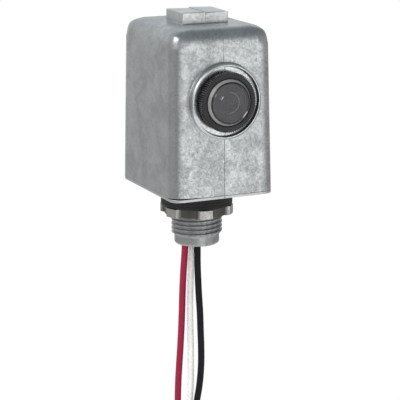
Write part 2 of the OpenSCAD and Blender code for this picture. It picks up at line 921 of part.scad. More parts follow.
module white_strands() {
    color([0.72, 0.45, 0.3]) strands(white_route);
}

module black_strands() {
    color([0.72, 0.45, 0.3]) strands(black_route);
}

housing();
base_plate();
base_seal();
base_screws();
stem_gasket();
locknut();
selector_ring();
lens();
light_mask();
selector_clip();
selector_seal();
circuit_board();
photocell();
cell_spacer();
relay();
mains_capacitor();
smoothing_capacitor();
varistor();
dropper_resistor();
bleed_resistor();
rectifier_diode();
zener_diode();
coil_diode();
transistor();
solder_joints();
lead_joints();
lead_bush();
red_lead();
white_lead();
black_lead();
red_strands();
white_strands();
black_strands();
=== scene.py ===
import json
import logging
import math
from contextlib import contextmanager
from dataclasses import dataclass
from enum import Enum
from typing import Any, Callable, Iterator, Optional, Sequence

import bmesh
import bpy
from mathutils import Matrix, Vector


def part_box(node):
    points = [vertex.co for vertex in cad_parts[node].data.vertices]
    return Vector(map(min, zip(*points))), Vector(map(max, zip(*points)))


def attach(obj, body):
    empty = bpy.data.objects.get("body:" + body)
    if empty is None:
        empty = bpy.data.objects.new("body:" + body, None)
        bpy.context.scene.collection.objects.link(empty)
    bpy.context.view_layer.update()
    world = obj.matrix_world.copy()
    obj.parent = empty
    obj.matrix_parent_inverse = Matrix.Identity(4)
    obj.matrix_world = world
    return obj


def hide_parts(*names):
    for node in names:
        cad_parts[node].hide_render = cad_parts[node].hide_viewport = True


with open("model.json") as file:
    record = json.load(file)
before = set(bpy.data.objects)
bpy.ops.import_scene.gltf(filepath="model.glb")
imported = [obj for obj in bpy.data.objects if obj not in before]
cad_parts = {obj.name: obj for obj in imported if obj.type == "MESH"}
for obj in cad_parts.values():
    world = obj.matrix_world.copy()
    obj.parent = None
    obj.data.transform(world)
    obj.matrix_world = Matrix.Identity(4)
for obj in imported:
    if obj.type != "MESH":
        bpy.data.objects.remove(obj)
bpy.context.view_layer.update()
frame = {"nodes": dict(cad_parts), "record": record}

logging.basicConfig(level=logging.INFO, format="%(message)s")
LOG = logging.getLogger("photocell_switch")

# Units, limits and the eye's place

MM = 0.001
TURN = 2 * math.pi
NEAR = 0.01 * MM
UPRIGHT = 0.9
ROUND = 0.5
NORMAL_WEIGHT = 80
LENS_PROUD = 6.5 * MM
EYE_Z = 50.7 * MM
EYE_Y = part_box("lens")[0].y + LENS_PROUD
ACROSS = (1, 0, 0)

Colour = tuple[float, float, float]
Place = tuple[float, float, float]
Pair = tuple[float, float]
Piece = bpy.types.Object
Edge = bmesh.types.BMEdge
Face = bmesh.types.BMFace


class Body(Enum):
    """The bodies that pieces ride on."""

    SWITCH = "body"
    SELECTOR = "selector"


class Line(Enum):
    """The axes that turned pieces are made on."""

    STEM = "stem"
    EYE = "eye"


# Modelling helpers


def deselect_all() -> None:
    """Leave no object selected."""
    bpy.ops.object.select_all(action="DESELECT")


def focus(piece: Piece) -> None:
    """Make one piece the only selected and active one.

    Args:
        piece: the object that the next operator acts on.
    """
    deselect_all()
    piece.select_set(True)
    bpy.context.view_layer.objects.active = piece


def settle(piece: Piece) -> None:
    """Put a piece's place, turn and scale into its mesh."""
    focus(piece)
    bpy.ops.object.transform_apply(location=True, rotation=True, scale=True)


@contextmanager
def editing(piece: Piece, kind: str = "FACE") -> Iterator[None]:
    """Open a piece in edit mode with nothing selected.

    Args:
        piece: the mesh object to edit.
        kind: VERT, EDGE or FACE, the kind of element that is picked.
    """
    focus(piece)
    bpy.ops.object.mode_set(mode="EDIT")
    bpy.ops.mesh.select_mode(type=kind)
    bpy.ops.mesh.select_all(action="DESELECT")
    yield
    bpy.ops.object.mode_set(mode="OBJECT")


def pick(piece: Piece, kind: str, test: Callable[[Any], bool]) -> None:
    """Select the elements of a piece in edit mode that pass a test.

    Args:
        piece: the mesh object in edit mode.
        kind: VERT, EDGE or FACE.
        test: says of one element whether it is picked.
    """
    bpy.ops.mesh.select_mode(type=kind)
    bpy.ops.mesh.select_all(action="DESELECT")
    mesh = bmesh.from_edit_mesh(piece.data)
    elements = {"VERT": mesh.verts, "EDGE": mesh.edges, "FACE": mesh.faces}[kind]
    for element in [element for element in elements if test(element)]:
        element.select_set(True)
    mesh.select_flush_mode()
    bmesh.update_edit_mesh(piece.data)


def round_off(piece: Piece, test: Callable[[Any], bool], width: float, steps: int = 3) -> None:
    """Bevel the edges of a piece in edit mode that pass a test.

    Args:
        piece: the mesh object in edit mode.
        test: says of one edge whether it is bevelled.
        width: how far the bevel reaches from the edge.
        steps: faces across the bevel.
    """
    pick(piece, "EDGE", test)
    bpy.ops.mesh.bevel(offset=width, segments=steps, profile=ROUND)


def cut(place: Sequence[float], normal: Sequence[float], **settings: bool) -> None:
    """Cut the whole piece in edit mode by a plane."""
    bpy.ops.mesh.select_all(action="SELECT")
    bpy.ops.mesh.bisect(plane_co=place, plane_no=normal, **settings)


def middle(edge: Edge) -> Vector:
    """Give the middle of an edge."""
    return (edge.verts[0].co + edge.verts[1].co) / 2


def from_eye(place: Vector) -> float:
    """Measure how far a place is from the eye's axis."""
    return math.hypot(place.x, place.z - EYE_Z)


def is_sharp(edge: Edge, degrees: float = 30) -> bool:
    """Say whether two faces meet at an edge by more than an angle."""
    return len(edge.link_faces) == 2 and edge.calc_face_angle(0) > math.radians(degrees)


def faces_up(face: Face) -> bool:
    """Say whether a face looks upwards."""
    return face.normal.z > UPRIGHT


def apply_modifier(piece: Piece, kind: str, **settings: Any) -> None:
    """Add a modifier to a piece and apply it.

    Args:
        piece: the mesh object.
        kind: the modifier's type.
        settings: values for the modifier's own fields.
    """
    focus(piece)
    modifier = piece.modifiers.new(kind.lower(), kind)
    for name, value in settings.items():
        setattr(modifier, name, value)
    bpy.ops.object.modifier_apply(modifier=modifier.name)


def combine(piece: Piece, tool: Piece, how: str) -> None:
    """Unite a piece with a tool solid or cut it with one, and remove the tool.

    Args:
        piece: the mesh object that is kept.
        tool: the solid that is used up.
        how: UNION or DIFFERENCE.
    """
    apply_modifier(piece, "BOOLEAN", operation=how, object=tool, solver="EXACT")
    bpy.data.objects.remove(tool)


def block(low: Vector, high: Vector, name: str) -> Piece:
    """Add a block between two corners.

    Args:
        low: the lowest corner.
        high: the highest corner.
        name: the object's name.

    Returns:
        The block, with its place in its mesh.
    """
    deselect_all()
    bpy.ops.mesh.primitive_cube_add(size=1, location=(low + high) / 2, scale=high - low)
    piece = bpy.context.object
    piece.name = name
    settle(piece)
    return piece


def in_metres(profile: Sequence[Pair]) -> list[Pair]:
    """Turn a profile's radii and heights from millimetres into metres."""
    return [(radius * MM, height * MM) for radius, height in profile]


def turned(
    name: str,
    stations: Sequence[Pair],
    line: Line,
    sides: int = 128,
    reach: Optional[Callable[[int, float, float], float]] = None,
) -> Piece:
    """Turn a closed profile about an axis by extruding one ring of edges from station to station.

    Args:
        name: the object's name.
        stations: radius and height of each ring; a profile that returns to its first
            station closes on itself, and one that ends at radius zero closes in a pole.
        line: the axis that the heights run along.
        sides: vertices in a ring.
        reach: gives a vertex's radius from its number in the ring, the station's radius and height.

    Returns:
        The turned solid, with its place in its mesh.
    """
    deselect_all()
    bpy.ops.mesh.primitive_circle_add(vertices=sides, radius=1, fill_type="NOTHING")
    piece = bpy.context.object
    piece.name = name
    places = piece.data.attributes.new("place", "INT", "POINT")
    places.data.foreach_set("value", range(sides))
    with editing(piece, "VERT"):
        bpy.ops.mesh.select_all(action="SELECT")
        for number, (radius, height) in enumerate(stations):
            if number:
                bpy.ops.mesh.extrude_region_move()
            mesh = bmesh.from_edit_mesh(piece.data)
            layer = mesh.verts.layers.int["place"]
            for vertex in mesh.verts:
                if vertex.select:
                    turn = TURN * vertex[layer] / sides
                    span = reach(vertex[layer], radius, height) if reach else radius
                    vertex.co = (span * math.cos(turn), span * math.sin(turn), height)
            bmesh.update_edit_mesh(piece.data)
        bpy.ops.mesh.select_all(action="SELECT")
        bpy.ops.mesh.remove_doubles(threshold=0.1 * NEAR)
        bpy.ops.mesh.normals_make_consistent(inside=False)
    piece.data.attributes.remove(piece.data.attributes["place"])
    if line is Line.EYE:
        piece.rotation_euler = (math.pi / 2, 0, 0)
        piece.location = (0, EYE_Y, EYE_Z)
    settle(piece)
    return piece


def drill(piece: Piece, radius: float, ends: Pair, line: Line, sides: int = 128) -> None:
    """Drill a round hole into a piece.

    Args:
        piece: the mesh object.
        radius: the hole's radius.
        ends: where the drill starts and ends on its axis.
        line: the axis.
        sides: sides of the hole.
    """
    low, high = ends
    hole = turned("hole", [(0, low), (radius, low), (radius, high), (0, high)], line, sides)
    combine(piece, hole, "DIFFERENCE")


def soften(piece: Piece, degrees: float = 35, flat: Optional[Callable[[Face], bool]] = None) -> None:
    """Shade a piece smooth up to an angle and weight its normals by face area.

    Args:
        piece: the mesh object.
        degrees: the angle from which an edge stays sharp.
        flat: says of a face whether it is shaded flat.
    """
    focus(piece)
    bpy.ops.object.shade_smooth_by_angle(angle=math.radians(degrees))
    if flat:
        with editing(piece):
            pick(piece, "FACE", flat)
            bpy.ops.mesh.faces_shade_flat()
    apply_modifier(piece, "WEIGHTED_NORMAL", keep_sharp=True, weight=NORMAL_WEIGHT)


def present(piece: Piece, body: Body, slot: str, *nodes: str, finish: str = "") -> None:
    """Dress a piece, put it on its body and hide the CAD nodes that it stands in for.

    Args:
        piece: the finished piece.
        body: the body that it rides on.
        slot: the record's material slot.
        nodes: the CAD nodes that it replaces.
        finish: the name of its finish, where that isn't the slot's own.
    """
    piece.data.materials.clear()
    piece.data.materials.append(FINISHES[finish or slot])
    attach(piece, body.value)
    if nodes:
        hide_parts(*nodes)
    LOG.info("piece %s on %s", piece.name, body.value)


# Materials


class Tree:
    """A node tree that is filled one node at a time; its spot is the socket with the place."""

    def __init__(self, tree: bpy.types.NodeTree) -> None:
        """Start from an empty tree.

        Args:
            tree: the node tree that is cleared and filled.
        """
        self.tree = tree
        self.tree.nodes.clear()
        self.spot: Any = None

    def add(self, kind: str, inputs: Optional[dict[Any, Any]] = None, **settings: Any) -> bpy.types.Node:
        """Add a node, set its fields and fill its inputs.

        Args:
            kind: the node's type, without the ShaderNode start where it has one.
            inputs: values, colours of three numbers or sockets by the input's name or number.
            settings: values for the node's own fields.

        Returns:
            The new node.
        """
        name = kind if kind.startswith("Node") else "ShaderNode" + kind
        node = self.tree.nodes.new(name)
        for key, value in settings.items():
            setattr(node, key, value)
        for key, value in (inputs or {}).items():
            socket = node.inputs[key]
            if isinstance(value, bpy.types.NodeSocket):
                self.tree.links.new(value, socket)
            elif socket.type == "RGBA":
                socket.default_value = (*value, 1.0)
            else:
                socket.default_value = value
        return node

    def axes(self, vector: Any) -> Any:
        """Split a vector and give its parts by X, Y and Z."""
        return self.add("SeparateXYZ", {0: vector}).outputs

    def vector(self, how: str, first: Any, second: Any) -> Any:
        """Combine two vectors into one."""
        return self.add("VectorMath", {0: first, 1: second}, operation=how).outputs["Vector"]

    def length(self, vector: Any) -> Any:
        """Measure a vector."""
        return self.add("VectorMath", {0: vector}, operation="LENGTH").outputs["Value"]

    def spread(self, value: Any, low: float, high: float, first: float = 0, last: float = 1) -> Any:
        """Map a stretch of values onto another, held at its ends."""
        inputs = {"Value": value, "From Min": low, "From Max": high, "To Min": first, "To Max": last}
        return self.add("MapRange", inputs, interpolation_type="SMOOTHSTEP").outputs[0]

    def begins(self, value: Any, stretch: Pair, full: float = 1.0) -> Any:
        """Rise from nothing to full over a stretch in millimetres."""
        return self.spread(value, stretch[0] * MM, stretch[1] * MM, 0.0, full)

    def ends(self, value: Any, stretch: Pair, full: float = 1.0) -> Any:
        """Fall from full to nothing over a stretch in millimetres."""
        return self.spread(value, stretch[0] * MM, stretch[1] * MM, full, 0.0)

    def calculate(self, how: str, first: Any, second: Any) -> Any:
        """Combine two values by a math node."""
        return self.add("Math", {0: first, 1: second}, operation=how).outputs[0]

    def plus(self, first: Any, second: Any) -> Any:
        """Add two values."""
        return self.calculate("ADD", first, second)

    def minus(self, first: Any, second: Any) -> Any:
        """Take the second value from the first."""
        return self.calculate("SUBTRACT", first, second)

    def times(self, first: Any, second: Any) -> Any:
        """Multiply two values."""
        return self.calculate("MULTIPLY", first, second)

    def around_half(self, value: Any, amount: Any) -> Any:
        """Draw a value towards one half where the amount is low."""
        return self.plus(self.times(self.minus(value, 0.5), amount), 0.5)

    def blend(self, share: Any, first: Any, second: Any) -> Any:
        """Mix two colours."""
        inputs = {"Factor": share, 6: first, 7: second}
        return self.add("Mix", inputs, data_type="RGBA").outputs[2]

    def bump(self, height: Any, strength: float, depth: float) -> Any:
        """Turn a height into a normal."""
        inputs = {"Height": height, "Strength": strength, "Distance": depth}
        return self.add("Bump", inputs).outputs[0]

    def finish(self, inputs: dict[str, Any]) -> None:
        """Add a material's shader and its output."""
        surface = self.add("BsdfPrincipled", inputs).outputs[0]
        self.add("OutputMaterial", {"Surface": surface})


@dataclass(frozen=True)
class Mottle:
    """A noise, the stretch of its values that is used and its share in a mix."""

    scale: float
    detail: float
    low: float
    high: float
    rough: float = 0.55
    bend: float = 0.0
    share: float = 1.0

    def draw(self, tree: Tree, first: float = 0, last: float = 1) -> Any:
        """Add the noise to a tree and map its stretch onto another.

        Args:
            tree: the tree that takes the nodes.
            first: the value at the low end.
            last: the value at the high end.

        Returns:
            The socket with the value.
        """
        inputs = {"Vector": tree.spot, "Scale": self.scale, "Detail": self.detail, "Roughness": self.rough}
        noise = tree.add("TexNoise", {**inputs, "Distortion": self.bend}).outputs[0]
        return tree.spread(noise, self.low, self.high, first, last)


BLOTCHES = Mottle(95, 4, 0.34, 0.66, 0.6, 0.6, share=0.38)
SWIRLS = Mottle(420, 5, 0.36, 0.64, 0.66, 1.6, share=0.36)
FLECKS = Mottle(1250, 3, 0.34, 0.66, 0.6, share=0.26)
PITS = Mottle(900, 2, 0.66, 0.74, 0.5, share=0.55)
SPARKLES = Mottle(1100, 2, 0.63, 0.72, 0.5, 0.4, share=0.45)
CLOUDS = Mottle(130, 3, 0.35, 0.65, share=0.6)
LINE_BREAKS = Mottle(260, 2, 0.42, 0.58)
# Noise of the collar rim's pale band, which is partly wear and partly a painted highlight.
RUBBING_AND_SHEEN = Mottle(240, 3, 0.3, 0.7)
# Noise of the pale tooth crests, which are partly wear and partly painted highlight.
WEAR_AND_SHEEN = Mottle(700, 2, 0.4, 0.6)
HAZE = Mottle(260, 3, 0.3, 0.7)
SMEARS = Mottle(900, 2, 0.3, 0.7)
FLOOR_SHADES = Mottle(6, 2, 0.3, 0.7)
SPARKLE_COLOUR = (0.9, 0.92, 0.92)
TONE_HEIGHT = 0.8
GRAIN_SHARE = 0.4


def new_material(name: str) -> tuple[bpy.types.Material, Tree]:
    """Start a material whose tree has the place in the piece's own coordinates.

    Args:
        name: the material's name.

    Returns:
        The material and its tree.
    """
    material = bpy.data.materials.new(name)
    material.use_nodes = True
    tree = Tree(material.node_tree)
    tree.spot = tree.add("TexCoord").outputs["Object"]
    return material, tree


def new_group(name: str, **inputs: str) -> tuple[Tree, Any]:
    """Start a shader node group that takes a place and puts out a colour, a roughness and a height.

    Args:
        name: the group's name.
        inputs: the kind of each further input by its name.

    Returns:
        The tree and the sockets that give the inputs.
    """
    tree = bpy.data.node_groups.new(name, "ShaderNodeTree")
    outputs = {"Colour": "Color", "Roughness": "Float", "Height": "Float"}
    for side, sockets in (("INPUT", {"Vector": "Vector", **inputs}), ("OUTPUT", outputs)):
        for label, kind in sockets.items():
            tree.interface.new_socket(label, in_out=side, socket_type="NodeSocket" + kind)
    filled = Tree(tree)
    given = filled.add("NodeGroupInput").outputs
    filled.spot = given["Vector"]
    return filled, given


def cast_skin_group() -> bpy.types.NodeTree:
    """Build the skin of a die casting: soft blotches, and on its front swirls, flecks, sparkles and pits.

    Returns:
        The node group.
    """
    tree, given = new_group(
        "cast_skin", Facing="Float", Light="Color", Dark="Color", Pit="Color", Rough="Float"
    )
    lively = given["Facing"]
    half_lively = tree.plus(tree.times(lively, 0.5), 0.5)
    blotch = tree.around_half(BLOTCHES.draw(tree), half_lively)
    swirl = tree.around_half(SWIRLS.draw(tree), lively)
    fleck = tree.around_half(FLECKS.draw(tree), lively)
    tone = tree.plus(tree.times(blotch, BLOTCHES.share), tree.times(swirl, SWIRLS.share))
    tone = tree.plus(tone, tree.times(fleck, FLECKS.share))
    pits = tree.times(PITS.draw(tree), lively)
    sparkle = tree.times(SPARKLES.draw(tree), lively)
    colour = tree.blend(tone, given["Dark"], given["Light"])
    colour = tree.blend(tree.times(sparkle, SPARKLES.share), colour, SPARKLE_COLOUR)
    colour = tree.blend(tree.times(pits, PITS.share), colour, given["Pit"])
    rough = tree.plus(given["Rough"], tree.spread(tone, low=0.1, high=0.9, first=0.08, last=-0.06))
    height = tree.minus(tree.times(tone, TONE_HEIGHT), pits)
    tree.add("NodeGroupOutput", {"Colour": colour, "Roughness": rough, "Height": height})
    return tree.tree


def fine_grain_group() -> bpy.types.NodeTree:
    """Build the grain of moulded and drawn surfaces.

    Returns:
        The node group.
    """
    tree, given = new_group("fine_grain", Light="Color", Dark="Color", Rough="Float", Scale="Float")
    cloud = CLOUDS.draw(tree)
    inputs = {"Vector": tree.spot, "Scale": given["Scale"], "Detail": 3.0, "Roughness": 0.6}
    grain = tree.add("TexNoise", inputs).outputs[0]
    share = tree.plus(tree.times(cloud, CLOUDS.share), tree.times(grain, GRAIN_SHARE))
    colour = tree.blend(share, given["Dark"], given["Light"])
    rough = tree.plus(given["Rough"], tree.spread(share, low=0.2, high=0.8, first=0.05, last=-0.05))
    tree.add("NodeGroupOutput", {"Colour": colour, "Roughness": rough, "Height": grain})
    return tree.tree


CAST_SKIN = cast_skin_group()
FINE_GRAIN = fine_grain_group()


def off_eye(tree: Tree) -> tuple[Any, Any]:
    """Measure a tree's place from the eye's axis.

    Args:
        tree: the tree that takes the nodes.

    Returns:
        The sockets with the distance from the axis and the place along Y.
    """
    centred = tree.vector("SUBTRACT", tree.spot, (0.0, EYE_Y, EYE_Z))
    flat = tree.vector("MULTIPLY", centred, (1.0, 0.0, 1.0))
    return tree.length(flat), tree.axes(centred)["Y"]


@dataclass(frozen=True)
class ZincFinish:
    """Satin as-cast zinc, liveliest where it faces the front; edges and bands are in millimetres."""

    name: str
    light: Colour
    dark: Colour
    # Colour of the pits, also used for painted shade along the parting line and in the collar's corner.
    pit_and_shade: Colour
    rough: float = 0.4
    bump: float = 0.3
    calm: float = 0.3
    front: Pair = (-0.9, -0.5)
    line_share: float = 0.0
    line_fade: Pair = (0.05, 0.2)
    bands: Sequence[tuple[Pair, float, Colour]] = ()
    recess_shade: Optional[Colour] = None
    recess_shade_edge: Pair = (13.6, 15.1)
    skin_depth: float = 0.12 * MM

    def make(self) -> bpy.types.Material:
        """Build the material.

        Returns:
            The material, ready for a piece.
        """
        material, tree = new_material(self.name)
        normal = tree.axes(tree.add("TexCoord").outputs["Normal"])
        facing = tree.spread(normal["Y"], *self.front, 1.0, self.calm)
        inputs = {
            "Vector": tree.spot,
            "Facing": facing,
            "Light": self.light,
            "Dark": self.dark,
            "Pit": self.pit_and_shade,
            "Rough": self.rough,
        }
        skin = tree.add("Group", inputs, node_tree=CAST_SKIN).outputs
        colour = self.marked(tree, skin["Colour"])
        colour, rough, height = self.round_the_eye(tree, (colour, skin["Roughness"], skin["Height"]))
        # Painted shade in the recesses between the nut's lugs.
        if self.recess_shade:
            radius = tree.length(tree.vector("MULTIPLY", tree.spot, (1.0, 1.0, 0.0)))
            colour = tree.blend(tree.begins(radius, self.recess_shade_edge), self.recess_shade, colour)
        bump = tree.bump(height, self.bump, self.skin_depth)
        tree.finish({"Base Color": colour, "Roughness": rough, "Metallic": 1.0, "Normal": bump})
        return material

    def marked(self, tree: Tree, colour: Any) -> Any:
        """Add the bands across a casting and painted shade along its parting line.

        Args:
            tree: the tree that takes the nodes.
            colour: the socket with the skin's colour.

        Returns:
            The socket with the marked colour.
        """
        axes = tree.axes(tree.spot)
        for stretch, share, band in self.bands:
            colour = tree.blend(tree.begins(axes["Z"], stretch, share), colour, band)
        # Painted shade along the parting line's groove.
        if self.line_share:
            off = tree.calculate("ABSOLUTE", axes["X"], 0.0)
            line = tree.ends(off, self.line_fade, self.line_share)
            line = tree.times(line, LINE_BREAKS.draw(tree, first=0.3))
            colour = tree.blend(self.kept_line(tree, line), colour, self.pit_and_shade)
        return colour

    def kept_line(self, tree: Tree, line: Any) -> Any:
        """Give the parting line, which a plain casting keeps whole."""
        return line

    def round_the_eye(self, tree: Tree, looks: tuple[Any, Any, Any]) -> tuple[Any, Any, Any]:
        """Give colour, roughness and height as they are, for a casting without an eye."""
        return looks


@dataclass(frozen=True)
class HousingFinish(ZincFinish):
    """The housing's zinc, with the collar round the eye; edges are in millimetres."""

    rim: Pair = (0.27, 0.45)
    # The rim's pale colour is partly wear and partly a painted highlight.
    rim_wear_and_highlight: Colour = (0.92, 0.93, 0.93)
    rim_start: Pair = (13.95, 14.15)
    rim_end: Pair = (15.2, 15.4)
    rim_back: Pair = (-0.4, -0.2)
    # Share of the painted shade in the corner inside the rim.
    corner_shade: float = 0.5
    corner_start: Pair = (13.6, 13.75)
    corner_end: Pair = (14.02, 14.12)
    corner_back: Pair = (-0.9, -0.8)
    polish: float = 0.1
    dish_end: Pair = (13.7, 13.85)
    dish_back: Pair = (-0.8, -0.5)

    def outside_dish(self, tree: Tree) -> Any:
        """Give 0 on the floor of the collar's dish and 1 elsewhere.

        Args:
            tree: the tree that takes the nodes.

        Returns:
            The socket with the value.
        """
        radius, forward = off_eye(tree)
        dish = tree.times(tree.ends(radius, self.dish_end), tree.ends(forward, self.dish_back))
        return tree.minus(1.0, dish)

    def kept_line(self, tree: Tree, line: Any) -> Any:
        """Give the parting line outside the dish."""
        return tree.times(line, self.outside_dish(tree))

    def round_the_eye(self, tree: Tree, looks: tuple[Any, Any, Any]) -> tuple[Any, Any, Any]:
        """Paint the collar's rim and outside pale, partly as wear and partly as a painted highlight, paint
        shade into the corner inside the rim, and smooth the dish's floor.

        Args:
            tree: the tree that takes the nodes.
            looks: the sockets with colour, roughness and height.

        Returns:
            The changed sockets.
        """
        colour, rough, height = looks
        radius, forward = off_eye(tree)
        # Pale band on the rim and the collar's outside: partly wear, partly a painted highlight.
        ring = tree.times(tree.begins(radius, self.rim_start), tree.ends(radius, self.rim_end))
        ring = tree.times(ring, tree.ends(forward, self.rim_back))
        ring = tree.times(ring, RUBBING_AND_SHEEN.draw(tree, *self.rim))
        colour = tree.blend(ring, colour, self.rim_wear_and_highlight)
        # Painted shade in the corner inside the rim, where the ring's shadow falls.
        corner = tree.times(
            tree.begins(radius, self.corner_start, self.corner_shade), tree.ends(radius, self.corner_end)
        )
        corner = tree.times(corner, tree.ends(forward, self.corner_back))
        colour = tree.blend(corner, colour, self.pit_and_shade)
        outside = self.outside_dish(tree)
        rough = tree.minus(rough, tree.times(tree.minus(1.0, outside), self.polish))
        return colour, rough, tree.times(height, outside)


@dataclass(frozen=True)
class MouldedFinish:
    """A moulded, dipped, drawn or plated surface with a fine grain."""

    name: str
    light: Colour
    dark: Colour
    rough: float
    grain: float = 2500.0
    bump: float = 0.1
    metallic: float = 0.0
    coat: float = 0.0
    shine: float = 0.5
    grain_depth: float = 0.05 * MM

    def make(self) -> bpy.types.Material:
        """Build the material.

        Returns:
            The material, ready for a piece.
        """
        material, tree = new_material(self.name)
        inputs = {
            "Vector": tree.spot,
            "Light": self.light,
            "Dark": self.dark,
            "Rough": self.rough,
            "Scale": self.grain,
        }
        grain = tree.add("Group", inputs, node_tree=FINE_GRAIN).outputs
        tree.finish(
            {
                "Base Color": self.wear_and_painted_light(tree, grain["Colour"]),
                "Roughness": grain["Roughness"],
                "Metallic": self.metallic,
                "Coat Weight": self.coat,
                "Specular IOR Level": self.shine,
                "Normal": tree.bump(grain["Height"], self.bump, self.grain_depth),
            }
        )
        return material

    def wear_and_painted_light(self, tree: Tree, colour: Any) -> Any:
        """Give the colour as it is, for a surface without wear or painted light."""
        return colour


@dataclass(frozen=True)
class KnurlFinish(MouldedFinish):
    """Black plastic with pale crests on its teeth, partly wear and partly a painted highlight, painted shade
    between the teeth and at the seam by the lens, and painted highlights on the tips of one side; edges are
    in millimetres.
    """

    crest_sheen_and_wear: Colour = (0.1, 0.101, 0.1)
    # Painted shade between the teeth and in the seam by the lens.
    gap: Colour = (0.003, 0.003, 0.003)
    tip_highlight: Colour = (0.62, 0.62, 0.61)
    crest_start: Pair = (11.47, 11.57)
    teeth_start: Pair = (10.9, 11.0)
    teeth_front: Pair = (-5.02, -4.9)
    tip_start: Pair = (11.42, 11.5)
    tip_back: Pair = (-4.96, -4.86)
    lit_across: Pair = (5, 9)
    lit_up: Pair = (-3, -1)
    seam_shade_end: Pair = (9.72, 9.86)

    def wear_and_painted_light(self, tree: Tree, colour: Any) -> Any:
        """Paint shade into the gaps between the teeth and the seam by the lens, pale the crests as wear and
        painted highlight, and paint highlights on the tips of the right-hand side.

        Args:
            tree: the tree that takes the nodes.
            colour: the socket with the plastic's colour.

        Returns:
            The socket with the colour, with its wear and painted light.
        """
        radius, forward = off_eye(tree)
        axes = tree.axes(tree.spot)
        # Pale crests, partly wear and partly a painted highlight; the gaps between the teeth get painted
        # shade.
        crest_sheen_and_wear = tree.times(tree.begins(radius, self.crest_start), WEAR_AND_SHEEN.draw(tree, first=0.3))
        toothed = tree.times(tree.begins(forward, self.teeth_front), tree.begins(radius, self.teeth_start))
        # Painted highlights on the tips of the teeth on the right-hand side, fainter low down.
        right, far_right = self.lit_across
        low, high = self.lit_up
        lit_side = tree.times(
            tree.spread(axes["X"], right * MM, far_right * MM, first=0.04),
            tree.spread(axes["Z"], EYE_Z + low * MM, EYE_Z + high * MM, first=0.1),
        )
        tip_highlight = tree.times(tree.begins(radius, self.tip_start), lit_side)
        tip_highlight = tree.times(tip_highlight, tree.ends(forward, self.tip_back))
        tooth = tree.blend(crest_sheen_and_wear, self.gap, self.crest_sheen_and_wear)
        colour = tree.blend(toothed, colour, tooth)
        colour = tree.blend(tip_highlight, colour, self.tip_highlight)
        # Painted shadow in the seam between the ring and the lens.
        return tree.blend(tree.ends(radius, self.seam_shade_end), colour, self.gap)


@dataclass(frozen=True)
class GlintStreak:
    """A slanting pale streak on the lens, in millimetres from the eye's axis, and its lean in degrees."""

    across: float
    up: float
    lean: float
    half_length: float
    half_width: float
    share: float

    def mask(self, tree: Tree) -> Any:
        """Give the streak's share, which fades towards its outline.

        Args:
            tree: the tree that takes the nodes.

        Returns:
            The socket with the share.
        """
        shifted = tree.vector("SUBTRACT", tree.spot, (self.across * MM, 0.0, EYE_Z + self.up * MM))
        turn = {"Vector": shifted, "Axis": (0.0, 1.0, 0.0), "Angle": math.radians(self.lean)}
        aligned = tree.add("VectorRotate", turn).outputs[0]
        scale = (1 / (self.half_length * MM), 0.0, 1 / (self.half_width * MM))
        off = tree.length(tree.vector("MULTIPLY", aligned, scale))
        return tree.spread(off, low=0.4, high=1.0, first=self.share, last=0.0)


@dataclass(frozen=True)
class SmokedFinish:
    """Smoked, glossy plastic with a paler side, painted shade on its rounded edge and at its foot, and pale
    streaks that are painted glints and reflections; edges are in millimetres.
    """

    name: str
    face: Colour
    side: Colour
    # Colour of the painted shade on the face's rounded edge and at the foot.
    edge: Colour
    rough: float
    cover: float
    glint_colour: Colour = (0.75, 0.75, 0.75)
    edge_shade_start: Pair = (7.72, 7.86)
    side_start: Pair = (8.34, 8.44)
    foot_shade_start: Pair = (9.22, 9.3)
    clear_end: Pair = (7.9, 8.05)
    glint_streaks: Sequence[GlintStreak] = (
        # A pale streak on the face, partly a scratch and partly a painted glint; the two streaks by the edge
        # are painted reflections.
        GlintStreak(-3.7, 2.3, 56, 1.2, 0.26, 0.7),
        GlintStreak(6.2, -4.9, 51, 2.3, 0.26, 1.0),
        GlintStreak(-6.6, 3.5, 62, 1.3, 0.18, 0.35),
    )

    def make(self) -> bpy.types.Material:
        """Build the material.

        Returns:
            The material, ready for a piece.
        """
        material, tree = new_material(self.name)
        radius, _ = off_eye(tree)
        colour = tree.blend(HAZE.draw(tree, last=0.1), self.face, self.side)
        # Painted shade: a dark band on the face's rounded edge and another at the foot by the ring; the side
        # between is paler.
        rings = ((self.edge_shade_start, self.edge), (self.side_start, self.side), (self.foot_shade_start, self.edge))
        for stretch, tint in rings:
            colour = tree.blend(tree.begins(radius, stretch), colour, tint)
        for streak in self.glint_streaks:
            colour = tree.blend(streak.mask(tree), colour, self.glint_colour)
        start, end = self.clear_end
        alpha = tree.spread(radius, start * MM, end * MM, first=self.cover)
        rough = tree.plus(SMEARS.draw(tree, last=0.06), self.rough)
        tree.finish({"Base Color": colour, "Roughness": rough, "Alpha": alpha, "IOR": 1.5})
        return material


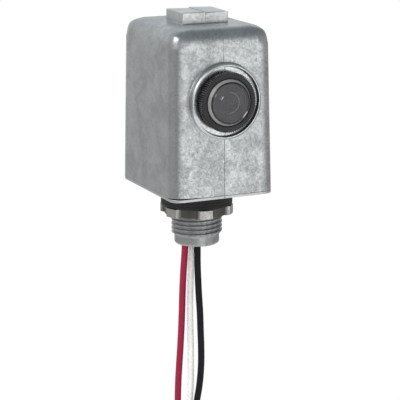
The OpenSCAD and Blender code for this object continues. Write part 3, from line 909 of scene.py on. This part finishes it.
FINISHES: dict[str, bpy.types.Material] = {
    finish.name: finish.make()
    for finish in (
        HousingFinish(
            "zinc_housing", (0.66, 0.68, 0.685), (0.32, 0.335, 0.34), (0.1, 0.105, 0.11), rough=0.34,
            calm=0.5, line_share=0.5, bands=(((79.6, 80.2), 0.4, (0.86, 0.87, 0.875)),),
        ),
        ZincFinish(
            "zinc_stem", (0.5, 0.505, 0.505), (0.28, 0.285, 0.29), (0.08, 0.08, 0.08), line_share=0.6,
            line_fade=(0.05, 0.35),
            # The second band is a painted shadow in the seam under the housing.
            bands=(((10.9, 11.4), 1.0, (0.6, 0.61, 0.61)), ((12.4, 12.46), 1.0, (0.012, 0.012, 0.012))),
        ),
        ZincFinish(
            "zinc_nut", (0.64, 0.63, 0.605), (0.38, 0.375, 0.36), (0.1, 0.1, 0.1), rough=0.34,
            # Painted shade between the lugs.
            recess_shade=(0.13, 0.13, 0.125),
        ),
        SmokedFinish(
            "smoked_lens", (0.062, 0.062, 0.064), (0.19, 0.185, 0.18), (0.012, 0.012, 0.012), 0.12, 0.68
        ),
        KnurlFinish("knurled_plastic", (0.02, 0.02, 0.021), (0.012, 0.012, 0.013), 0.35, shine=0.35),
        # Pale rib behind the lens: a painted highlight on the lit half of the window's edge.
        MouldedFinish("window_lip", (0.8, 0.8, 0.8), (0.7, 0.7, 0.7), 0.4),
        MouldedFinish(
            "black_rubber", (0.013, 0.013, 0.013), (0.007, 0.007, 0.007), 0.6, 1800, 0.25, shine=0.3
        ),
        MouldedFinish("black_plastic", (0.022, 0.022, 0.023), (0.012, 0.012, 0.012), 0.42),
        MouldedFinish("plated_steel", (0.66, 0.65, 0.6), (0.5, 0.49, 0.45), 0.3, 900, metallic=1.0),
        MouldedFinish("board_laminate", (0.03, 0.17, 0.07), (0.02, 0.12, 0.05), 0.35, 900),
        MouldedFinish("cell_resin", (0.3, 0.2, 0.1), (0.22, 0.14, 0.07), 0.2, 700, coat=0.5),
        MouldedFinish("relay_case", (0.03, 0.06, 0.2), (0.02, 0.045, 0.16), 0.45, 1500),
        MouldedFinish("film_case", (0.57, 0.42, 0.06), (0.48, 0.34, 0.04), 0.35, 1500),
        MouldedFinish("can_sleeve", (0.035, 0.035, 0.07), (0.02, 0.02, 0.045), 0.25, 1200),
        MouldedFinish("varistor_coat", (0.035, 0.13, 0.37), (0.025, 0.1, 0.3), 0.3, 800, 0.2),
        MouldedFinish("resistor_coat", (0.43, 0.33, 0.2), (0.35, 0.26, 0.15), 0.6, 1400, 0.3),
        MouldedFinish("solder", (0.68, 0.68, 0.7), (0.52, 0.52, 0.54), 0.3, 1100, 0.15, metallic=1.0),
        MouldedFinish(
            "red_insulation", (0.26, 0.008, 0.034), (0.2, 0.006, 0.026), 0.45, 700, 0.06, shine=0.2
        ),
        MouldedFinish(
            "white_insulation", (0.84, 0.82, 0.79), (0.76, 0.74, 0.7), 0.45, 700, 0.06, shine=0.2
        ),
        MouldedFinish(
            "black_insulation", (0.008, 0.008, 0.009), (0.005, 0.005, 0.006), 0.45, 700, 0.06, shine=0.15
        ),
        MouldedFinish("copper_strands", (0.8, 0.42, 0.25), (0.6, 0.27, 0.14), 0.3, 1200, metallic=1.0),
    )
}


# Camera, light and floor


@dataclass(frozen=True)
class Lamp:
    """An oblong lamp that faces the housing."""

    name: str
    place: Place
    size: Pair
    radiance: float
    aim: Place = (0, 0, 0.045)

    def build(self) -> None:
        """Put up the lamp."""
        data = bpy.data.lights.new(self.name, "AREA")
        data.shape = "RECTANGLE"
        data.size, data.size_y = self.size
        data.energy = self.radiance * math.pi * self.size[0] * self.size[1]
        lamp = bpy.data.objects.new(self.name, data)
        bpy.context.scene.collection.objects.link(lamp)
        place = Vector(self.place)
        turn = (Vector(self.aim) - place).to_track_quat("-Z", "Y").to_matrix().to_4x4()
        lamp.matrix_world = Matrix.Translation(place) @ turn
        lamp.visible_camera = False


@dataclass(frozen=True)
class Glow:
    """A bright part of the surroundings: its direction, where it starts and is full, and its strength."""

    direction: Place
    start: float
    full: float
    strength: float


@dataclass
class Studio:
    """The camera at the photograph's angle, soft light and a pale floor."""

    eye: Place = (-0.28611, -0.62914, 0.17048)
    right: Place = (0.90903, -0.41672, -0.00411)
    up: Place = (0.10076, 0.2102, 0.97245)
    lens: float = 154.72
    sensor: float = 36.0
    floor_z: float = -0.18
    floor_reach: float = 0.42
    floor_sides: int = 96
    floor_rough: float = 0.8
    floor_dark: Colour = (0.95, 0.95, 0.95)
    floor_light: Colour = (0.97, 0.97, 0.97)
    floor_glow: float = 0.94
    low_light: float = 0.3
    left_fill: float = 1.2
    right_fill: float = 0.2
    plain: Colour = (1, 1, 1)
    sky: Colour = (0.9, 0.98, 1.03)
    lamps: Sequence[Lamp] = (
        Lamp("key", (0.35, -1.25, 0.05), (0.8, 0.8), 0.45),
        Lamp("side", (-0.8, -0.17, 0.66), (1.5, 0.62), 2.2),
    )
    glows: Sequence[Glow] = (
        Glow((0.15, -0.94, -0.3), 0.68, 0.95, 0.66),
        Glow((0.15, 0.95, 0.27), 0.65, 0.95, 0.5),
        Glow((-0.85, 0.45, -0.22), 0.5, 0.9, 0.13),
        Glow((0.93, 0.1, -0.22), 0.5, 0.9, 0.14),
    )

    def place_camera(self) -> None:
        """Put the camera where the photograph was taken from."""
        data = bpy.data.cameras.new("camera")
        data.lens = self.lens
        data.sensor_width = self.sensor
        camera = bpy.data.objects.new("camera", data)
        bpy.context.scene.collection.objects.link(camera)
        back = Vector(self.right).cross(Vector(self.up))
        turn = Matrix((self.right, self.up, back)).transposed().to_4x4()
        camera.matrix_world = Matrix.Translation(self.eye) @ turn
        bpy.context.scene.camera = camera

    def light(self) -> None:
        """Set up the lamps and the pale surroundings."""
        for lamp in self.lamps:
            lamp.build()
        world = bpy.data.worlds.new("studio")
        bpy.context.scene.world = world
        world.use_nodes = True
        tree = Tree(world.node_tree)
        ahead = tree.add("TexCoord").outputs["Generated"]
        axes = tree.axes(ahead)
        level: Any = self.low_light
        for glow in self.glows:
            near = tree.add("VectorMath", {0: ahead, 1: glow.direction}, operation="DOT_PRODUCT")
            share = tree.spread(near.outputs["Value"], glow.start, glow.full, 0.0, glow.strength)
            level = tree.plus(level, share)
        path = tree.add("LightPath").outputs
        seen = tree.calculate("MAXIMUM", path["Is Camera Ray"], path["Is Transmission Ray"])
        fill = tree.spread(axes["X"], -1.0, 1.0, self.left_fill, self.right_fill)
        level = tree.plus(level, tree.times(path["Is Diffuse Ray"], fill))
        level = tree.calculate("MAXIMUM", level, seen)
        above = tree.times(tree.spread(axes["Z"], low=0.0, high=0.7), tree.minus(1.0, seen))
        colour = tree.blend(above, self.plain, self.sky)
        background = tree.add("Background", {"Color": colour, "Strength": level}).outputs[0]
        tree.add("OutputWorld", {"Surface": background})

    def lay_floor(self) -> None:
        """Lay a pale round floor below the leads."""
        deselect_all()
        bpy.ops.mesh.primitive_circle_add(
            vertices=self.floor_sides,
            radius=self.floor_reach,
            fill_type="NGON",
            location=(0, 0, self.floor_z),
        )
        floor = bpy.context.object
        floor.name = "floor"
        settle(floor)
        material, tree = new_material("floor")
        colour = tree.blend(FLOOR_SHADES.draw(tree), self.floor_dark, self.floor_light)
        inputs = {"Base Color": colour, "Roughness": self.floor_rough}
        surface = tree.add("BsdfPrincipled", inputs).outputs[0]
        glow = tree.add("Emission", {"Color": self.plain, "Strength": 1.0}).outputs[0]
        path = tree.add("LightPath").outputs
        seen = tree.calculate("MAXIMUM", path["Is Camera Ray"], path["Is Glossy Ray"])
        seen = tree.calculate("MAXIMUM", seen, path["Is Transmission Ray"])
        mixed = tree.add("MixShader", {0: tree.times(seen, self.floor_glow), 1: surface, 2: glow}).outputs[0]
        tree.add("OutputMaterial", {"Surface": mixed})
        floor.data.materials.append(material)

    def build(self) -> None:
        """Make the whole studio."""
        bpy.context.scene.view_settings.view_transform = "Standard"
        self.place_camera()
        self.light()
        self.lay_floor()
        LOG.info("studio")


# Leads


@dataclass
class Lead:
    """One hanging lead with its stripped end; its route is in millimetres."""

    name: str
    length: float
    route: Sequence[Place]
    diameter: float = 2.8 * MM
    bare_diameter: float = 1.6 * MM
    bare_length: float = 9 * MM
    strand_lobes: int = 9
    lobe_sides: int = 6
    lobe_depth: float = 0.1
    strand_turns: float = 1.5
    strand_rings: int = 28
    bush_point: int = 6

    def sheath(self) -> Piece:
        """Draw the insulation along its route.

        Returns:
            The insulation, a curve of one open spline.
        """
        curve = bpy.data.curves.new(self.name + "_sheath", "CURVE")
        curve.dimensions = "3D"
        curve.bevel_depth = self.diameter / 2
        curve.bevel_resolution = 6
        curve.resolution_u = 6
        curve.use_fill_caps = True
        spline = curve.splines.new("BEZIER")
        spline.bezier_points.add(len(self.route) - 1)
        for point, place in zip(spline.bezier_points, self.route):
            point.co = Vector(place) * MM
            point.handle_left_type = "AUTO"
            point.handle_right_type = "AUTO"
        piece = bpy.data.objects.new(self.name + "_sheath", curve)
        bpy.context.scene.collection.objects.link(piece)
        return piece

    def bundle(self, place: int, span: float, height: float) -> float:
        """Give the strands' radius at a vertex, with their lobes twisted down the bundle.

        Args:
            place: the vertex's number in its ring.
            span: the bundle's radius.
            height: the height below the insulation, as a negative number.

        Returns:
            The radius with the lobes.
        """
        twist = TURN * self.strand_turns * height / self.bare_length
        turn = TURN * place / (self.strand_lobes * self.lobe_sides) + twist
        return span * (1 - self.lobe_depth + self.lobe_depth * math.cos(self.strand_lobes * turn))

    def strands(self) -> Piece:
        """Turn the twisted bundle of bare strands below the insulation.

        Returns:
            The bundle, at the end of the route.
        """
        radius = self.bare_diameter / 2
        heights = [-self.bare_length * step / self.strand_rings for step in range(self.strand_rings + 1)]
        stations = [(0.0, 0.0)] + [(radius, height) for height in heights] + [(0.0, -self.bare_length)]
        sides = self.strand_lobes * self.lobe_sides
        piece = turned(self.name + "_strands_twisted", stations, Line.STEM, sides, self.bundle)
        piece.location = Vector(self.route[-1]) * MM
        settle(piece)
        soften(piece, degrees=50)
        return piece

    def build(self) -> None:
        colour = self.name.split("_")[0]
        strands = self.strands()
        present(strands, Body.SWITCH, "copper_strands", colour + "_strands")
        sheath = self.sheath()
        present(sheath, Body.SWITCH, colour + "_insulation", self.name)


LEADS = [
    Lead(
        "red_lead",
        0.182,
        [
            (-6.2, -5.5, 16.6), (-6.2, -5.5, 14.2), (-5.8, -3.8, 10.4), (-5.4, -1.6, 7.2), (-5, 0.2, 4.2),
            (-4.9, 0.9, 1), (-4.9, 0.9, -11.4), (-5, 1, -16), (-5.4, 1.1, -22), (-5.8, 1.3, -29),
            (-6.1, 1.4, -36), (-6.3, 1.5, -43), (-6.6, 1.7, -51), (-7, 1.9, -59), (-7.5, 2.1, -67),
            (-7.9, 2.3, -75), (-8.1, 2.4, -83), (-8, 2.4, -92), (-7.8, 2.3, -101), (-7.5, 2.1, -111),
            (-7.1, 1.9, -121), (-6.8, 1.8, -131), (-6.6, 1.7, -142), (-6.5, 1.6, -153), (-6.5, 1.6, -163),
        ],
    ),
    Lead(
        "white_lead",
        0.184,
        [
            (-1.6, -5.5, 16.6), (-1.6, -5.5, 14.2), (-1.5, -3, 10.4), (-1.4, -0.6, 7.2), (-1.2, 1.4, 4.2),
            (-1.2, 2.3, 1), (-1.2, 2.3, -11.4), (-1.3, 2.3, -16), (-1.6, 2.5, -22), (-1.8, 2.6, -29),
            (-2, 2.7, -36), (-2.1, 2.7, -43), (-2, 2.7, -51), (-1.9, 2.6, -59), (-1.9, 2.6, -67),
            (-2, 2.6, -75), (-2.3, 2.8, -83), (-2.7, 3, -92), (-3, 3.1, -101), (-3.1, 3.2, -111),
            (-3.1, 3.2, -121), (-2.9, 3.1, -131), (-2.7, 3, -142), (-2.5, 2.9, -153), (-2.5, 2.9, -165),
        ],
    ),
    Lead(
        "black_lead",
        0.179,
        [
            (3, -5.5, 16.6), (3, -5.5, 14.2), (2.2, -4.5, 10.4), (1, -3.2, 7.2), (-0.2, -2.1, 4.2),
            (-0.5, -1.7, 1), (-0.5, -1.7, -11.4), (-0.5, -1.7, -16), (-0.5, -1.7, -22), (-0.3, -1.8, -29),
            (0, -1.9, -36), (0.4, -2, -43), (0.6, -2.1, -51), (0.8, -2.2, -59), (0.7, -2.2, -67),
            (0.1, -1.9, -75), (-1, -1.4, -83), (-1.7, -1.1, -92), (-2.1, -0.9, -101), (-1.9, -1, -111),
            (-1.4, -1.3, -121), (-0.8, -1.5, -131), (-0.3, -1.8, -142), (-0.1, -1.8, -153),
            (-0.1, -1.8, -161),
        ],
    ),
]


# Castings


@dataclass
class BoxCasting:
    """The outline that the housing and its base share."""

    width: float = 44.7 * MM
    depth: float = 54.4 * MM
    corner_reach: float = 6 * MM
    corner_fullness: float = 0.6
    corner_steps: int = 14

    def blank(self, name: str, low_z: float, high_z: float) -> Piece:
        """Add a block on the outline between two heights."""
        low = Vector((-self.width / 2, -self.depth / 2, low_z))
        return block(low, Vector((self.width / 2, self.depth / 2, high_z)), name)


@dataclass
class HousingCasting(BoxCasting):
    """The drafted housing with its collar and its pad."""

    foot_z: float = 12.5 * MM
    top_z: float = 79.3 * MM
    wall: float = 2 * MM
    draft: float = math.radians(1)
    crown: float = 7.7 * MM
    edge_round: float = 0.35 * MM
    rim_round: float = 0.12 * MM
    rim_corner: float = 4.2 * MM
    rim_inset: float = 1.6 * MM
    gap: float = 0.75 * MM
    gap_front: float = 16 * MM
    gap_side: float = 8 * MM
    pad_width: float = 20.1 * MM
    pad_depth: float = 16.2 * MM
    pad_height: float = 4.5 * MM
    pad_forward: float = 1.2 * MM
    pad_root: float = 1 * MM
    pad_left: Pair = (4.4 * MM, 4.7 * MM)
    pad_right_front: Pair = (4.35 * MM, 4.2 * MM)
    pad_right_back: Pair = (4.85 * MM, 4.35 * MM)
    collar_foot: float = 15.2 * MM
    foot_reach: float = 0.7 * MM
    foot_back: float = 0.6 * MM
    dish_radius: float = 13.75 * MM
    dish_reach: float = 1.2 * MM
    dish_flush: float = 0.9999
    wall_flush: float = 0.99999
    bore: float = 9.55 * MM
    bore_reach: float = 8 * MM
    line_width: float = 0.15 * MM
    line_depth: float = 0.08 * MM

    def shell(self) -> Piece:
        """Draw the drafted, rounded shell with its open foot.

        Returns:
            The shell with its wall.
        """
        piece = self.blank("housing_casting", self.foot_z, self.top_z)
        narrowing = (self.top_z - self.foot_z) * math.tan(self.draft)
        ratio = (1 - 2 * narrowing / self.width, 1 - 2 * narrowing / self.depth, 1)
        with editing(piece):
            pick(piece, "FACE", faces_up)
            bpy.ops.transform.resize(value=ratio, center_override=(0, 0, self.top_z))
        self.round_edges(piece)
        with editing(piece):
            pick(piece, "FACE", lambda face: face.normal.z < -UPRIGHT)
            bpy.ops.mesh.delete(type="FACE")
        apply_modifier(piece, "SOLIDIFY", thickness=self.wall, offset=-1, use_even_offset=True)
        return piece

    def round_edges(self, piece: Piece) -> None:
        """Round the top edges and, a little less, the upright ones.

        Args:
            piece: the drafted block.
        """
        weights = piece.data.attributes.new("bevel_weight_edge", "FLOAT", "EDGE")
        for edge in piece.data.edges:
            heights = [piece.data.vertices[number].co.z for number in edge.vertices]
            if min(heights) > self.top_z - self.wall:
                weights.data[edge.index].value = 1.0
            elif max(heights) > self.top_z - self.wall:
                weights.data[edge.index].value = self.corner_reach / self.crown
        apply_modifier(
            piece, "BEVEL", limit_method="WEIGHT", width=self.crown, segments=self.corner_steps,
            profile=self.corner_fullness, use_clamp_overlap=False,
        )

    def collar(self) -> Piece:
        """Turn the collar round the eye, with its dish and its rounded rim."""
        profile = [
            (0, -1), (15.2, -1), (15.2, 0), (14.95, 2.6), (14.92, 2.78), (14.83, 2.88), (14.72, 2.9),
            (14.26, 2.9), (14.15, 2.87), (14.09, 2.76), (13.92, 1.1), (13.86, 0.98), (13.7, 0.95), (0, 0.95),
        ]
        return turned("collar", in_metres(profile), Line.EYE)

    def pad(self) -> Piece:
        """Draw the pad on top, with a slope on each half and a step where they meet.

        Returns:
            The pad, which reaches a little into the housing's top.
        """
        front = -self.pad_forward - self.pad_depth / 2
        back = front + self.pad_depth
        root = self.top_z - self.pad_root
        piece = block(
            Vector((-self.pad_width / 2, front, root)),
            Vector((self.pad_width / 2, back, self.top_z + self.pad_height)),
            "pad",
        )
        with editing(piece):
            cut((0, 0, 0), ACROSS)
            pick(piece, "FACE", lambda face: faces_up(face) and face.calc_center_median().x > 0)
            bpy.ops.mesh.extrude_region_move(TRANSFORM_OT_translate={"value": (0, 0, 2 * NEAR)})
            self.slope_pad(piece, (front + back) / 2)
            above = root + self.pad_root / 2
            round_off(piece, lambda edge: is_sharp(edge) and middle(edge).z > above, self.edge_round)
        return piece

    def slope_pad(self, piece: Piece, halfway: float) -> None:
        """Set the heights of the pad's top corners, each half's middle ones and its end ones.

        Args:
            piece: the pad, in edit mode, with its right half raised by a sliver.
            halfway: the place between its front and its back.
        """
        mesh = bmesh.from_edit_mesh(piece.data)
        for vertex in mesh.verts:
            if vertex.co.z < self.top_z:
                continue
            end = abs(vertex.co.x) > self.pad_width / 4
            right = vertex.co.x > 0 if end else vertex.co.z > self.top_z + self.pad_height + NEAR
            rises = self.pad_left
            if right:
                rises = self.pad_right_back if vertex.co.y > halfway else self.pad_right_front
            vertex.co.z = self.top_z + rises[1 if end else 0]
        bmesh.update_edit_mesh(piece.data)

    def wedge(self) -> Piece:
        """Draw the wedge that opens the corner at the front left.

        Returns:
            The wedge, thickest at the corner.
        """
        past = 1 * MM
        left = -self.width / 2
        front = -self.depth / 2
        piece = block(
            Vector((left - past, front - past, self.foot_z - past)),
            Vector((left + self.gap_front, front + self.gap_side, self.foot_z + self.gap)),
            "wedge",
        )
        corner = Vector((left - past, front - past, self.foot_z + self.gap))
        along = Vector((left + self.gap_front, front - past, self.foot_z)) - corner
        back = Vector((left - past, front + self.gap_side, self.foot_z)) - corner
        with editing(piece):
            cut(corner, along.cross(back).normalized(), use_fill=True, clear_outer=True)
        return piece

    def build(self) -> None:
        """Make the housing."""
        piece = self.shell()
        combine(piece, self.collar(), "UNION")
        combine(piece, self.pad(), "UNION")
        drill(piece, self.bore, (-self.bore_reach, self.bore_reach), Line.EYE)
        combine(piece, self.wedge(), "DIFFERENCE")
        with editing(piece, "EDGE"):
            round_off(piece, self.is_collar_foot, self.edge_round)
            round_off(piece, self.is_pad_foot, self.edge_round)
            round_off(piece, self.is_outer_rim, self.rim_round, steps=2)
            self.cut_parting_line(piece)
        soften(piece, flat=self.is_flat_front)
        present(piece, Body.SWITCH, "zinc_housing", "housing")

    def cut_parting_line(self, piece: Piece) -> None:
        """Press a fine groove into the outside where the die's halves met.

        Args:
            piece: the housing, in edit mode.
        """
        for place in (-self.line_width, 0, self.line_width):
            cut((place, 0, 0), ACROSS)
        inside = self.depth / 2 - 1.5 * self.wall
        roof = self.top_z - 0.5 * self.wall
        pick(piece, "VERT", lambda v: abs(v.co.x) < NEAR and (abs(v.co.y) > inside or v.co.z > roof))
        bpy.ops.transform.shrink_fatten(value=-self.line_depth)

    def is_collar_foot(self, edge: Edge) -> bool:
        """Say whether an edge is where the collar meets the wall.

        Args:
            edge: an edge of the housing.

        Returns:
            True for a sharp edge round the collar's foot.
        """
        place = middle(edge)
        off = abs(from_eye(place) - self.collar_foot)
        return is_sharp(edge) and off < self.foot_reach and place.y < EYE_Y + self.foot_back

    def is_flat_front(self, face: Face) -> bool:
        """Say whether a face is on the flat of the front wall or on the floor of the collar's dish.

        Args:
            face: a face of the housing.

        Returns:
            True for a face that is shaded flat.
        """
        wall = Vector((0, -math.cos(self.draft), math.sin(self.draft)))
        place = face.verts[0].co
        in_dish = from_eye(place) < self.dish_radius and abs(place.y - EYE_Y) < self.dish_reach
        return (in_dish and face.normal.y < -self.dish_flush) or face.normal.dot(wall) > self.wall_flush

    def is_pad_foot(self, edge: Edge) -> bool:
        """Say whether an edge is where the pad meets the top."""
        return is_sharp(edge) and abs(middle(edge).z - self.top_z) < 5 * NEAR

    def is_outer_rim(self, edge: Edge) -> bool:
        """Say whether an edge is the foot's outer edge.

        Args:
            edge: an edge of the housing.

        Returns:
            True for a sharp outer edge at the foot or at the wedge's cut.
        """
        place = middle(edge)
        off = Vector((abs(place.x) - self.width / 2, abs(place.y) - self.depth / 2))
        outside = max(off) > -self.rim_inset
        from_corner = off + Vector((self.rim_corner, self.rim_corner))
        if min(from_corner) > 0:
            outside = from_corner.length > self.rim_corner - self.rim_inset
        return is_sharp(edge) and outside and place.z < self.foot_z + self.gap + 10 * NEAR


@dataclass
class BaseCasting(BoxCasting):
    """The base plate with its threaded stem."""

    low_z: float = 11.3 * MM
    high_z: float = 12.5 * MM
    rise: float = 1.3 * MM
    inset: float = 2.15 * MM
    rim_round: float = 0.25 * MM
    hole_radius: float = 10.95 * MM
    hole_ends: Pair = (8 * MM, 20 * MM)
    thread_radius: float = 10.5 * MM
    thread_depth: float = 0.95 * MM
    thread_pitch: float = 1.814 * MM
    thread_start: float = 0.4 * MM
    thread_end: float = -9.1 * MM
    thread_step: float = 0.12 * MM
    run_out: float = 0.9 * MM
    flank_start: float = 0.2
    flank: float = 0.55
    pilot: float = 9.3 * MM
    sides: int = 120

    def plate(self) -> Piece:
        """Draw the plate with its raised middle.

        Returns:
            The plate, without the hole for the stem.
        """
        piece = self.blank("base_casting", self.low_z, self.high_z)
        with editing(piece):
            pick(piece, "EDGE", lambda edge: abs(edge.verts[0].co.z - edge.verts[1].co.z) > NEAR)
            bpy.ops.mesh.bevel(
                offset=self.corner_reach, segments=self.corner_steps, profile=self.corner_fullness
            )
            pick(piece, "FACE", faces_up)
            bpy.ops.mesh.inset(thickness=self.inset)
            bpy.ops.mesh.extrude_region_move(TRANSFORM_OT_translate={"value": (0, 0, self.rise)})
            round_off(piece, self.is_rim, self.rim_round)
        return piece

    def is_rim(self, edge: Edge) -> bool:
        """Say whether an edge is on the plate's outline, above or below.

        Args:
            edge: an edge of the plate.

        Returns:
            True for a sharp edge that stands out.
        """
        low = all(abs(v.co.z - self.low_z) < NEAR for v in edge.verts)
        high = all(abs(v.co.z - self.high_z) < NEAR for v in edge.verts)
        return is_sharp(edge, 60) and (low or high) and edge.calc_face_angle_signed(0) > 0

    def thread(self, place: int, radius: float, height: float) -> float:
        """Give the stem's radius at a vertex, with the thread's turns and its run-out.

        Args:
            place: the vertex's number in its ring.
            radius: the stem's plain radius at that height.
            height: the height on the stem's axis.

        Returns:
            The radius with the thread cut in.
        """
        if radius < self.pilot - NEAR or height > self.thread_start:
            return radius
        phase = (height / self.thread_pitch - place / self.sides) % 1
        wave = abs(2 * phase - 1)
        tooth = min(1.0, max(0.0, (wave - self.flank_start) / self.flank))
        tooth = tooth * tooth * (3 - 2 * tooth)
        root = self.thread_radius - self.thread_depth
        full = root + self.thread_depth * tooth
        fade = min(1.0, max(0.0, (height - self.thread_end) / self.run_out))
        return self.pilot + (full - self.pilot) * fade

    def stem(self) -> Piece:
        """Turn the stem with its shoulder, thread, plain end and bore.

        Returns:
            The stem, a closed solid.
        """
        count = round((self.thread_start - self.thread_end) / self.thread_step)
        shoulder = [
            (10.9, 14.5), (13.4, 12), (13.6, 11.6), (13.6, 10.2), (13.4, 10), (10.3, 10), (10.3, 0.5),
        ]
        heights = [self.thread_start - self.thread_step * number for number in range(count + 1)]
        end = [
            (9.3, -9.3), (9.3, -11.9), (9.22, -12.35), (9.0, -12.68), (8.65, -12.9), (7.75, -12.9),
            (7.5, -12.65), (7.5, 7.2), (10.9, 13.8), (10.9, 14.5),
        ]
        turns = [(self.thread_radius, height) for height in heights]
        stations = in_metres(shoulder) + turns + in_metres(end)
        return turned("stem", stations, Line.STEM, self.sides, self.thread)

    def build(self) -> None:
        """Make the base casting."""
        piece = self.plate()
        drill(piece, self.hole_radius, self.hole_ends, Line.STEM, self.sides)
        stem = self.stem()
        focus(piece)
        stem.select_set(True)
        bpy.ops.object.join()
        soften(piece)
        present(piece, Body.SWITCH, "zinc_stem", "base_plate")


# Stem fittings and light selector


@dataclass
class StemFittings:
    """The rubber gasket and the lugged locknut on the stem."""

    nut_radius: float = 13.4 * MM
    lug_radius: float = 15.1 * MM
    nut_height: float = 3.65 * MM
    nut_bore: float = 10.36 * MM
    nut_round: float = 0.16 * MM
    ring_count: int = 4
    first_ring: float = 4.3
    ring_pitch: float = 1.3
    inside: float = 12 * MM
    lug_count: int = 6
    lug_faces: int = 13
    lug_narrowing: float = 0.66
    lug_turn: float = math.radians(20.2)
    sides: int = 144

    def gasket(self) -> None:
        """Turn the rubber gasket with its faint moulding rings."""
        profile = [(10.36, 3.65), (14.3, 3.65), (14.62, 3.75), (14.75, 4.0)]
        for ring in range(self.ring_count):
            low = self.first_ring + self.ring_pitch * ring
            profile += [(14.8, low), (14.8, low + 0.8), (14.68, low + 1.0), (14.68, low + 1.15)]
        profile += [(14.75, 9.6), (14.62, 9.88), (14.3, 10.0), (10.36, 10.0), (10.36, 3.65)]
        piece = turned("rubber_gasket", in_metres(profile), Line.STEM)
        soften(piece, degrees=50)
        present(piece, Body.SWITCH, "black_rubber", "stem_gasket")

    def locknut(self) -> None:
        """Draw the locknut and extrude its lugs."""
        stations = [
            (self.nut_bore, 0), (self.nut_radius, 0), (self.nut_radius, self.nut_height),
            (self.nut_bore, self.nut_height), (self.nut_bore, 0),
        ]
        piece = turned("lug_locknut", stations, Line.STEM, self.sides)
        with editing(piece):
            pick(piece, "FACE", self.is_lug)
            bpy.ops.mesh.extrude_region_move()
            self.draw_lugs(piece)
            round_off(piece, self.is_outer_edge, self.nut_round, steps=2)
        soften(piece)
        present(piece, Body.SWITCH, "zinc_nut", "locknut")

    def draw_lugs(self, piece: Piece) -> None:
        """Draw the lugs' picked outer faces out to their radius and narrow them.

        Args:
            piece: the nut, in edit mode, with the extruded faces picked.
        """
        mesh = bmesh.from_edit_mesh(piece.data)
        for vertex in mesh.verts:
            if vertex.select:
                off = self.off_lug(vertex.co)
                turn = math.atan2(vertex.co.y, vertex.co.x) - off * (1 - self.lug_narrowing)
                vertex.co.x = self.lug_radius * math.cos(turn)
                vertex.co.y = self.lug_radius * math.sin(turn)
        bmesh.update_edit_mesh(piece.data)

    def off_lug(self, place: Vector) -> float:
        """Give the angle from the middle of the nearest lug to a place."""
        pitch = TURN / self.lug_count
        return (math.atan2(place.y, place.x) - self.lug_turn + pitch / 2) % pitch - pitch / 2

    def is_lug(self, face: Face) -> bool:
        """Say whether a face on the nut's outside belongs to a lug.

        Args:
            face: a face of the nut.

        Returns:
            True for an outside face that a lug grows from.
        """
        centre = face.calc_center_median()
        if abs(face.normal.z) > UPRIGHT or centre.to_2d().length < self.inside:
            return False
        return abs(self.off_lug(centre)) < TURN * self.lug_faces / self.sides / 2

    def is_outer_edge(self, edge: Edge) -> bool:
        """Say whether a sharp edge is on the nut's outside."""
        return is_sharp(edge) and middle(edge).to_2d().length > self.inside

    def build(self) -> None:
        """Make both fittings."""
        self.gasket()
        self.locknut()


@dataclass
class LightSelector:
    """The knurled ring with its smoked lens and the window's lip behind it, pale as a painted highlight."""

    tooth_depth: float = 0.6 * MM
    teeth: int = 84
    teeth_from: float = 11 * MM
    tooth_sides: int = 4
    lip_sides: int = 96

    def knurl(self, place: int, radius: float, height: float) -> float:
        """Give the ring's radius at a vertex, with its teeth on the outside."""
        in_gap = place % self.tooth_sides >= self.tooth_sides / 2
        return radius - self.tooth_depth if in_gap and radius >= self.teeth_from else radius

    def ring(self) -> None:
        """Turn the knurled ring and its sleeve."""
        profile = [
            (9.5, 1.4), (10.4, 1.4), (11.65, 1.5), (12.05, 4.5), (11.98, 4.85), (11.8, 5.05), (9.7, 5.05),
            (9.56, 5.0), (9.5, 4.9), (9.5, 4.2), (9.15, 4.2), (9.15, 2.6), (7.4, 2.6), (7.4, -5), (9.5, -5),
            (9.5, -3.8), (8.8, -3.8), (8.8, -3), (9.5, -3), (9.5, 1.4),
        ]
        sides = self.tooth_sides * self.teeth
        piece = turned("knurled_ring", in_metres(profile), Line.EYE, sides, self.knurl)
        soften(piece, degrees=28)
        present(piece, Body.SELECTOR, "black_plastic", "selector_ring", finish="knurled_plastic")

    def lens(self) -> None:
        """Turn the smoked lens with its tapered side and hollow back."""
        profile = [
            (0, 6.5), (7.6, 6.5), (7.95, 6.47), (8.18, 6.36), (8.3, 6.16), (9.3, 4.9), (9.34, 4.75),
            (9.34, 4.25), (9.1, 4.2), (9.1, 3.2), (7.5, 3.2), (7.5, 5.1), (7.3, 5.3), (0, 5.3),
        ]
        piece = turned("smoked_lens", in_metres(profile), Line.EYE)
        soften(piece, degrees=40)
        present(piece, Body.SELECTOR, "smoked_lens", "lens")

    def lip(self) -> None:
        """Turn the rib behind the lens and keep the half of it that edges the window; its pale colour is a
        painted highlight seen through the lens.
        """
        profile = [
            (3.98, 5.34), (3.98, 5.16), (4.02, 5.1), (4.22, 5.1), (4.26, 5.16), (4.26, 5.34), (3.98, 5.34),
        ]
        piece = turned("window_lip", in_metres(profile), Line.EYE, self.lip_sides)
        with editing(piece):
            cut((0, 0, 0), ACROSS, use_fill=True, clear_inner=True)
        soften(piece, degrees=40)
        present(piece, Body.SELECTOR, "black_plastic", finish="window_lip")

    def build(self) -> None:
        """Make the selector."""
        self.ring()
        self.lens()
        self.lip()


# The whole scene


def dress_nodes() -> None:
    """Give every CAD node that still shows the finish of its record slot."""
    for part in frame["record"]["subparts"]:
        node = frame["nodes"][part["node"]]
        if node.hide_render:
            continue
        node.data.materials.clear()
        node.data.materials.append(FINISHES[part["material_slot"]])
        LOG.info("node %s in %s", part["node"], part["material_slot"])


def main() -> None:
    """Build the scene in order."""
    Studio().build()
    for lead in LEADS:
        lead.build()
    HousingCasting().build()
    BaseCasting().build()
    StemFittings().build()
    LightSelector().build()
    dress_nodes()


if __name__ == "__main__":
    main()
